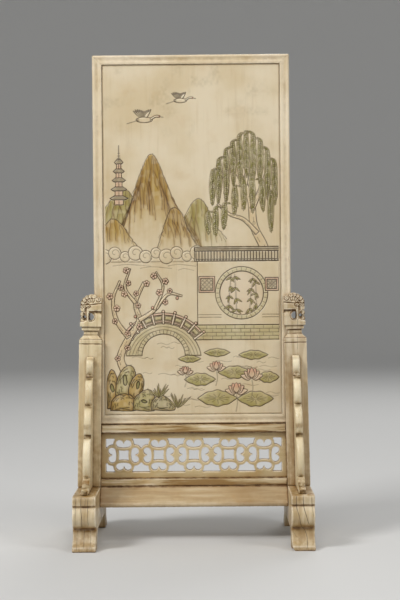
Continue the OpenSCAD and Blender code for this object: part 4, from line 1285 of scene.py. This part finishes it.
def willow_spray(x, top, long, seed):
    """A spray of fine leaves on one strand, which arches away from the crown's middle and hangs."""
    share = np.linspace(0, 1, round(long / 0.6))
    sway = 0.5 * np.sin(2.6 * share + seed) * share
    arch = np.clip(1 - share / 0.16, 0, 1) ** 2
    outward = np.clip((x - CROWN_X) / 5, -1, 1)
    strand = np.column_stack([x + sway - 4.2 * outward * arch, top - long * share - 3.2 * arch])
    saw = 0.24 * np.where(np.arange(len(share)) % 2, 1, -1)
    half = (1.9 * (1 - (2 * share - 1) ** 2) ** 0.8 + saw * np.sin(np.pi * share))[:, None]
    outline = np.vstack([strand + half * (1, 0), (strand - half * (1, 0))[::-1]])

    def leafy(gx, gz):
        return 0.4 + 0.5 * mottle(gx, gz, 1.6, 5.0, seed)

    lay(outline, 0.75 * MIDDLE, WILLOW, leafy, 0.9, 0.2, 0.36)
    for (px, pz), reach in list(zip(strand, half[:, 0]))[1:-2:2]:
        for lean in (-1.05, -2.09):
            turn = lean + hand.normal(0, 0.14)
            leaf = blade((px, pz + 0.5), turn, 0.8 + reach * hand.uniform(0.7, 1.15), 0.42)
            lay(leaf, MIDDLE, WILLOW, hand.uniform(0.35, 1.0), 0.3, 0.42, 0.28)
    engrave(strand, 0.3, 0.1, 0.4)


# Each limb: its spine, and how thick it is at the foot and at the tip.
WILLOW_LIMBS = (
    ([(43, 84), (41.5, 96), (36, 108), (34.5, 122), (30, 134), (24, 143), (19, 149)], 5.6, 2.0),
    ([(35, 118), (39, 127), (42.5, 136), (44, 143)], 3.0, 1.2),
    ([(31, 132), (33, 145), (31, 156), (33, 163)], 2.6, 1.0),
    ([(38, 104), (30, 112), (22, 115), (15, 121)], 2.6, 1.0),
)
for spine, thick, thin in WILLOW_LIMBS:
    trunk(spine, thick, thin, MIDDLE, BARK, 0.5)
# Each spray: where it hangs, its top and its length.
SPRAYS = (
    (48, 150, 30), (44, 157, 34), (40, 162, 30), (36, 166, 36), (32, 165.8, 30), (28, 165, 34),
    (24, 161, 30), (20, 157, 36), (16, 151, 30), (12.5, 144, 24), (46, 132, 28), (41, 138, 22),
    (35, 141, 26), (30, 139, 22), (25, 134, 20), (19, 124, 18), (14, 122, 20), (9.5, 119, 16),
)
for seed, spray in enumerate(SPRAYS):
    willow_spray(*spray, seed)
so_far("willow")


# %% Garden wall with a round gate
def brick_courses(left, right, low, high, course, colour, share):
    """Courses of long bricks with staggered joints."""
    lay(box(left, low, right, high), MIDDLE, colour, share, 0.6, 0.7)
    for row in range(round((high - low) / course)):
        z = low + row * course
        if row:
            engrave([(left, z), (right, z)], 0.36, 0.15, 0.55)
        for x in np.arange(left + course * (1 + row % 2), right, 2.6 * course):
            engrave([(x, z), (x, z + course)], 0.34, 0.15, 0.5)


def tiled_coping(left, right, low, high, pitch):
    """The tiled top of a wall: a dark ridge over ribs that end in round tiles."""
    lay(box(left, low, right, high), NEAR, SLATE, 0.3, 0.5, 0.85)
    for x in np.arange(left + pitch / 2, right, pitch):
        engrave([(x, low + 0.9), (x, high - 2.2)], 0.48, 0.3, 0.9)
        lay(ring((x + pitch / 2, low + 0.6), 0.6, 0.6, 11), NEAR, SLATE, 0.2, 0.4, 0.75)
    lay(box(left, high - 2.4, right, high), NEAR, SLATE, 0.75, 0.6, 0.9)
    engrave([(left, high - 1.1), (right, high - 1.1)], 0.36, 0.15, 0.6)


WALL_LEFT, WALL_LOW, WALL_HIGH, COPING = 3.0, 51.0, 88.0, 8.2
GATE, GATE_R, GATE_RING = (28.5, 69.5), 12.7, 2.5


def plaster(gx, gz):
    """Old plaster, a little yellow in patches."""
    return 0.05 + 0.12 * step_up(mottle(gx, gz, 6.0, 7.0, 61), 0.5, 0.9)


def spoke(centre, turn, near, far):
    """A short line that points away from a centre, for the joints of an arch."""
    return [(centre[0] + r * math.cos(turn), centre[1] + r * math.sin(turn)) for r in (near, far)]


lay(box(WALL_LEFT, WALL_LOW, FIELD_HALF, WALL_HIGH), MIDDLE, OCHRE_WASH, plaster, 0.6, 0.8)
tiled_coping(WALL_LEFT - 1.6, FIELD_HALF, WALL_HIGH, WALL_HIGH + COPING, 1.75)
lay(ring(GATE, GATE_R + GATE_RING, GATE_R + GATE_RING, 72), NEAR, OLIVE, 0.34, 0.6, 0.8)
lay(ring(GATE, GATE_R, GATE_R, 72), 0.0, ROSE, 0.1, 0.5, 0.9)
for turn in np.linspace(0, 2 * math.pi, 33):
    engrave(spoke(GATE, turn, GATE_R + 0.5, GATE_R + 2.1), 0.34, 0.15, 0.5)
so_far("wall and gate")


# %% Bamboo seen through the gate
def bamboo(x, z, tall, lean, sprays):
    """A jointed stem with sprays of pointed leaves."""
    stem = curve([(x, z), (x + lean * 0.4, z + tall * 0.5), (x + lean, z + tall)])
    engrave(stem, 0.6, -0.15, 0.5)
    for share in np.linspace(0.1, 0.95, sprays):
        node_at = stem[int(share * (len(stem) - 1))]
        for turn in hand.uniform(-2.7, -0.4, 4):
            lay(blade(node_at, turn, hand.uniform(2.6, 4.2), 0.42), 0.2, OLIVE, 0.9, 0.3, 0.5)


for stem in ((21, 61, 19, 1.5, 4), (25.5, 58.5, 22, -1.0, 4), (33, 59, 20, 2.0, 4), (37, 62, 15, -0.5, 3)):
    bamboo(*stem)
so_far("bamboo")


# %% Windows and plinth of the wall
def lattice_window(x, z, half, rows):
    """A square window with a lattice of slanting bars."""
    lay(box(x - half, z - half, x + half, z + half), NEAR, ROSE, 0.5, 0.4, 0.85)
    inner = half - 1.0
    lay(box(x - inner, z - inner, x + inner, z + inner), 0.3, SLATE, 0.25, 0.3, 0.8)
    for i in range(rows + 1):
        u = -inner + 2 * inner * i / rows
        for sx, sz in ((1, 1), (-1, 1), (1, -1), (-1, -1)):
            engrave([(x + sx * u, z - sz * inner), (x + sx * inner, z - sz * u)], 0.34, -0.1, 0.7)


lattice_window(8.4, 74.5, 4.6, 3)
lattice_window(46.0, 74.5, 3.8, 3)
for z in (55.5, 57):
    for left, right in ((WALL_LEFT, GATE[0] - 12), (GATE[0] + 12, FIELD_HALF)):
        engrave([(left, z), (right, z)], 0.36, 0.15, 0.6)
brick_courses(WALL_LEFT - 4.5, FIELD_HALF, 42.5, WALL_LOW, 2.1, OLIVE, 0.5)
so_far("windows and plinth")


# %% [markdown]
# ### The near half: bridge, pond, plum tree and rocks
# What is near is carved highest. The bridge is two arcs with stones between them, and its balustrade
# follows the deck. Leaves and flowers of the pond come from a few outlines that are drawn at several sizes,
# as a carver works from patterns, and a little chance in the places of blossoms keeps them lively.

# %% Arched bridge
BRIDGE, DECK_R = np.array([-17.0, 30.0]), 22.0
ARCH, ARCH_R = np.array([-17.0, 33.5]), 12.5
spring = math.asin((ARCH[1] - BRIDGE[1]) / DECK_R)
deck = ring(BRIDGE, DECK_R, DECK_R, 40, spring, math.pi - spring)
stones = np.vstack([deck, ring(ARCH, ARCH_R, ARCH_R, 36, math.pi, 0)])
VOUSSOIR = 2.4


def weathered(gx, gz):
    """Stone that has turned green in patches."""
    return 0.18 + 0.25 * mottle(gx, gz, 4.0, 4.0, 62)


lay(stones, MIDDLE, OLIVE, weathered, 0.8, 0.8)
for turn in np.linspace(0.05, math.pi - 0.05, 21):
    engrave(spoke(ARCH, turn, ARCH_R, ARCH_R + VOUSSOIR), 0.36, 0.16, 0.6)
engrave(ring(ARCH, ARCH_R + VOUSSOIR, ARCH_R + VOUSSOIR, 44, 0, math.pi), 0.36, 0.16, 0.6)
for inset in (1.8, 3.6, 5.4, 7.2, 9.0):
    course = ring(BRIDGE, DECK_R - inset, DECK_R - inset, 90, 0.1, math.pi - 0.1)
    clear = (np.hypot(*(course - ARCH).T) > ARCH_R + VOUSSOIR + 0.2) & (course[:, 1] > ARCH[1] + 0.3)
    for run in np.split(np.arange(len(course)), np.flatnonzero(np.diff(clear)) + 1):
        if len(run) > 2 and clear[run[1]]:
            engrave(course[run], 0.34, 0.14, 0.48)
so_far("bridge")


# %% Balustrade of the bridge
def along_deck(low, high, start, end):
    """A strip that follows the deck's curve between two distances above it."""
    outer = ring(BRIDGE, DECK_R + high, DECK_R + high, 26, start, end)
    return np.vstack([outer, ring(BRIDGE, DECK_R + low, DECK_R + low, 26, end, start)])


RAIL_TURN = math.radians(54)
upright = math.pi / 2
lay(along_deck(0.8, 1.6, upright - 0.9, upright + 0.9), NEAR, ROSE, 0.45, 0.4, 0.75)
lay(along_deck(5.0, 6.2, upright - 0.9, upright + 0.9), NEAR, ROSE, 0.5, 0.4, 0.8)
posts = upright + np.linspace(-RAIL_TURN, RAIL_TURN, 9)
for a, b in zip(posts, posts[1:]):
    lay(along_deck(2.3, 4.3, a + 0.045, b - 0.045), MIDDLE, OLIVE, 0.55, 0.3, 0.6)
for turn in posts:
    ahead = np.array([math.cos(turn), math.sin(turn)])
    across = np.array([-ahead[1], ahead[0]]) * 0.6
    low, high = BRIDGE + ahead * (DECK_R - 0.2), BRIDGE + ahead * (DECK_R + 6.6)
    lay([low + across, low - across, high - across, high + across], NEAR, ROSE, 0.15, 0.4, 0.8)
    lay(ring(BRIDGE + ahead * (DECK_R + 7.0), 0.8, 0.8, 12), NEAR, ROSE, 0.5, 0.4, 0.8)
so_far("balustrade")

# %% Water
for _ in range(70):
    x, z = hand.uniform(-48, 46), hand.uniform(3, 41)
    long = hand.uniform(4, 11)
    if np.hypot(x - ARCH[0], z - ARCH[1]) < 10 or z < ARCH[1] - 1:
        ripple = curve([(x, z), (x + long * 0.3, z + 0.5), (x + long * 0.7, z - 0.4), (x + long, z + 0.1)])
        engrave(ripple, 0.34, 0.1, 0.34)
so_far("water")


# %% Lotus
def lotus_leaf(x, z, wide, tall):
    """A floating leaf between two arcs, with veins that spread from its middle."""
    share = np.linspace(-1, 1, 30)
    rim = tall * (1 - share**2) * (1 + 0.07 * np.sin(11 * share + x))
    outline = np.vstack([
        np.column_stack([x + wide * share, z + rim]),
        np.column_stack([x + wide * share, z - rim])[::-1],
    ])

    def deeper(gx, gz):
        lower = step_up((z - gz) / tall, -0.9, 0.9)
        return 0.55 + 0.2 * lower + 0.2 * mottle(gx, gz, 2.0, 1.5, 63)

    lay(outline, MIDDLE, OLIVE, deeper, 1.2, 0.75)
    for turn in np.linspace(0.2, 2 * math.pi + 0.2, 12)[:-1]:
        far = 0.8 / (abs(math.cos(turn)) + abs(math.sin(turn)) + 0.15)
        across, up = wide * math.cos(turn), tall * math.sin(turn)
        vein = [(x + s * across, z + s * up) for s in (0.12, 0.6 * far, far)]
        engrave(curve(vein, 4), 0.3, 0.14, 0.45)


def lotus_flower(x, z, size):
    """An open flower: a fan of pointed petals on a stalk."""
    engrave(curve([(x, z), (x + 0.6, z - size * 0.9), (x - 0.3, z - size * 1.8)]), 0.5, -0.1, 0.5)

    def blush(gx, gz):
        return 0.3 + 0.6 * step_up(gz, z + 0.2 * size, z + size)

    for turn in (0.25, 2.89, 0.75, 2.39, 1.2, 1.94, 1.57):
        long = size * (1.0 if 0.5 < turn < 2.6 else 1.12)
        lay(blade((x, z), turn, long, 0.3 * size), NEAR, ROSE, blush, 0.6, 0.65)


# Each leaf: its middle, and half its width and height.
PADS = (
    (-2, 31.5, 6.5, 2.1), (14, 35, 7.5, 2.3), (35, 33.5, 8.5, 2.6), (24, 23.5, 9.5, 3.6),
    (4, 19.5, 9, 3.6), (43.5, 20.5, 6.5, 3.2), (14, 8.5, 11.5, 4.6), (36, 8, 10.5, 4.4),
)
for pad in PADS:
    lotus_leaf(*pad)
for flower in ((13.5, 25, 5.0), (34, 20, 6.0), (-4.5, 23, 4.2), (25, 11.5, 6.0)):
    lotus_flower(*flower)
so_far("lotus")


# %% Plum tree
def blossom(x, z, size, turned):
    """A flower of five round petals."""
    for turn in turned + np.arange(5) * 2 * math.pi / 5:
        petal = (x + 1.05 * size * math.cos(turn), z + 1.05 * size * math.sin(turn))
        lay(ring(petal, 0.85 * size, 0.85 * size, 12), NEAR, ROSE, 0.5, 0.4, 0.6)
    engrave(ring((x, z), 0.3, 0.3, 6), 0.34, 0.15, 0.7)


# Each bough: its spine, and how thick it is at the foot and at the tip.
PLUM = (
    ([(-41, 8), (-38, 20), (-42, 32), (-37, 44), (-31, 54), (-33, 64), (-28, 76)], 5.5, 1.6),
    ([(-37, 44), (-44, 54), (-46, 66), (-42, 77)], 3.0, 1.0),
    ([(-31, 54), (-22, 60), (-14, 69), (-6, 68)], 2.6, 0.9),
    ([(-33, 64), (-39, 73), (-36, 84)], 2.0, 0.8),
    ([(-22, 60), (-17, 73), (-21, 82)], 1.6, 0.8),
)
boughs = [trunk(spine, thick, thin, NEAR, BARK, 0.55) for spine, thick, thin in PLUM]
for bough in boughs:
    side = sides_of(bough)
    for i in range(len(bough) // 3, len(bough), 4):
        flip = 1 if i % 8 < 4 else -1
        x, z = bough[i] + side[i] * flip * hand.uniform(1.0, 2.2)
        if hand.uniform() < 0.75:
            blossom(x, z, hand.uniform(0.8, 1.05), hand.uniform(0, 1.2))
        else:
            lay(ring((x, z), 0.75, 0.85, 12), NEAR, ROSE, 0.75, 0.4, 0.7)
so_far("plum tree")


# %% Pierced rock with orchid grass
def rock_lobe(outline, colour, share):
    """One rounded lobe of a water-worn rock, with wrinkles that follow its edge."""
    line = curve(outline + outline[:1], 7)
    line = line + hand.normal(0, 0.08, line.shape)
    middle = line.mean(0)

    def streaky(gx, gz):
        return share * (0.65 + 0.35 * mottle(gx, gz, 1.5, 5.0, 64))

    lay(line, NEAR, colour, streaky, 3.4, 0.9)
    shade(line, 2.4, UMBER, 0.6)
    for shrink, dark in ((0.82, 0.5), (0.64, 0.42), (0.44, 0.36)):
        ripple = 0.3 * np.sin(np.arange(len(line)) * 1.3 + shrink * 20)[:, None]
        inner = middle + (line - middle) * shrink + ripple
        for run in np.array_split(inner, 6)[:: 1 + (shrink < 0.5)]:
            part = run[: hand.integers(len(run) // 2, len(run))]
            shade(part, 1.0, MOSS, 0.4)
            engrave(part, 0.4, 0.2, dark)


def rock_hollow(x, z, wide, tall):
    """A dark hole worn through the rock."""
    turn = np.linspace(0, 2 * math.pi, 16)[:-1]
    reach = 1 + 0.22 * np.sin(2 * turn + x) + hand.normal(0, 0.07, turn.shape)
    rim = np.column_stack([x + wide * reach * np.cos(turn), z + tall * reach * np.sin(turn)])
    lay(curve(closed(rim), 4), 0.0, MOSS, 0.9, 0.5, 0.85)


# Each lobe: its outline, wash and strength of the wash.
ROCKS = (
    ([(-50, 3), (-50.2, 18), (-47.5, 25.5), (-44.5, 22), (-42.5, 12), (-43, 3)], OCHRE_WASH, 0.8),
    (
        [(-44.5, 6), (-45, 14), (-43, 22), (-39.5, 27), (-35.5, 27.5), (-33.5, 23), (-34.5, 15), (-36, 6)],
        OLIVE, 0.75,
    ),
    ([(-37, 5), (-37.5, 14), (-34.5, 21), (-30.5, 23), (-28.5, 18), (-29.5, 11), (-27, 4)], OCHRE_WASH, 0.9),
    ([(-48, 2), (-47, 8), (-41, 11.5), (-35, 9.5), (-33, 2)], OCHRE_WASH, 0.95),
    ([(-35, 2), (-34, 9), (-28, 13.5), (-23.5, 12), (-22, 2)], OLIVE, 0.85),
    ([(-24.5, 2), (-24, 7), (-19, 10.5), (-14, 8), (-11, 2)], MOSS, 0.55),
)
for rock in ROCKS:
    rock_lobe(*rock)
for hollow in ((-39.5, 19.5, 1.4, 2.6), (-47, 15, 1.1, 2.3), (-32, 16.5, 1.0, 2.0), (-28.5, 7, 1.5, 1.0)):
    rock_hollow(*hollow)
for root in ((-20, 9), (-9, 3)):
    for turn in np.linspace(2.4, 0.7, 9) + hand.normal(0, 0.08, 9):
        lay(blade(root, turn, hand.uniform(5, 10), 0.38), MIDDLE, OLIVE, 0.85, 0.3, 0.5)
so_far("rocks and grass")

# %% [markdown]
# ### Age of the picture
# Washes and ink on such a plaque wear off unevenly, and smoke darkens the open sky a little. Both are slow
# blotches, laid over the whole drawing at the end. Along its border the relief fades out, so that the field
# meets its frame level.

# %% Handling has thinned the colour
SMOKE = np.array([0.62, 0.60, 0.52])
grid_x, grid_z = np.meshgrid(xs, zs)
edge_gap = np.minimum(FIELD_HALF - np.abs(grid_x), np.minimum(grid_z, FIELD_TALL - grid_z))
inside = step_up(edge_gap, 0.35, 0.8)
height = np.clip(height, -0.3, NEAR) * inside
thinned = 1 - 0.25 * step_up(mottle(grid_x, grid_z, 2.2, 2.6, 71), 0.5, 0.85)
wash = 1 + (wash - 1) * (inside * thinned)[..., None]
ink *= inside * (1 - 0.3 * step_up(mottle(grid_x, grid_z, 3.0, 2.0, 72), 0.55, 0.85))
smoky = step_up(mottle(grid_x, grid_z, 7.0, 6.0, 73), 0.5, 0.95) * mottle(grid_x, grid_z, 1.2, 1.4, 74)
smoky *= step_up(grid_z, 140, 190)
wash *= 1 - 0.42 * smoky[..., None] * (1 - SMOKE)
print("relief from", round(height.min(), 2), "to", round(height.max(), 2), "mm")

# %% [markdown]
# ## The plaque itself
# The grid of heights becomes the front of one closed solid, because a displaced plane would have no sides
# and no back. Behind it lies a tongue that sits in the frame's groove. Old wax and dirt fill the line
# between the plaque and its frame to a fraction of its depth. The wash and the ink are kept on the grid's
# points, and the finish reads them there.

# %% Plaque
def plaque_solid():
    """The relief in front, a stepped tongue round the sides and a flat back, as one closed mesh."""
    rows, columns = height.shape
    grid = np.arange(rows * columns).reshape(rows, columns)
    depth = (FACE_Y - height).ravel()
    front = np.column_stack([np.tile(xs, rows), depth, np.repeat(zs + FIELD_LOW, columns)])
    rim = np.concatenate([grid[0], grid[1:, -1], grid[-1, -2::-1], grid[-2:0:-1, 0]])
    middle = np.array([0, 0, FIELD_LOW + FIELD_TALL / 2])
    half = np.array([FIELD_HALF, 1, FIELD_TALL / 2])
    points, loops = [front], [rim]
    filled = ((-FILL_HALF, 0), (-FILL_HALF, FILL_REACH), (-TONGUE_HALF, FILL_REACH))
    tongue = ((-TONGUE_HALF, TONGUE_REACH), (TONGUE_HALF, TONGUE_REACH), (TONGUE_HALF, 0))
    for y, reach in (*filled, *tongue, (-FACE_Y, 0)):
        loop = middle + (front[rim] - middle) * (half + reach) / half
        loop[:, 1] = y
        loops.append(np.arange(len(rim)) + sum(map(len, points)))
        points.append(loop)
    quads = [np.stack([grid[:-1, :-1], grid[:-1, 1:], grid[1:, 1:], grid[1:, :-1]], 2).reshape(-1, 4)]
    for a, b in zip(loops, loops[1:]):
        quads.append(np.column_stack([a, b, np.roll(b, -1), np.roll(a, -1)]))
    mesh = bpy.data.meshes.new("carved_plaque")
    faces = np.vstack(quads).tolist() + [loops[-1][::-1].tolist()]
    mesh.from_pydata(np.vstack(points).tolist(), [], faces)
    mesh.update()
    return mesh


def store_colours(mesh):
    """Keep the wash as a colour and the ink as its alpha on the relief's points."""
    paint = np.ones((len(mesh.vertices), 4), np.float32)
    paint[:, 3] = 0
    paint[: height.size, :3] = wash.reshape(-1, 3)
    paint[: height.size, 3] = ink.ravel()
    layer = mesh.attributes.new("paint", "FLOAT_COLOR", "POINT")
    layer.data.foreach_set("color", paint.ravel())


plaque_mesh = plaque_solid()
mark_relief(plaque_mesh, np.append(inside.ravel(), np.zeros(len(plaque_mesh.vertices) - inside.size)))
store_colours(plaque_mesh)
PLAQUE_LINES = {"painted": True, "dirt": LINE_BROWN, "grime": 0.75, "nooks": 0.45, "patchy": 0.6}
look = aged_cream(
    "plaque_cream", PALE_FIELD, MELLOW_FIELD, UPRIGHT, soil=0.5, cracks=0.1, grain=0.2, **PLAQUE_LINES
)
plaque = place_piece(plaque_mesh, "carved_plaque", "plaque", look)
plaque.data.set_sharp_from_angle(angle=math.radians(75))
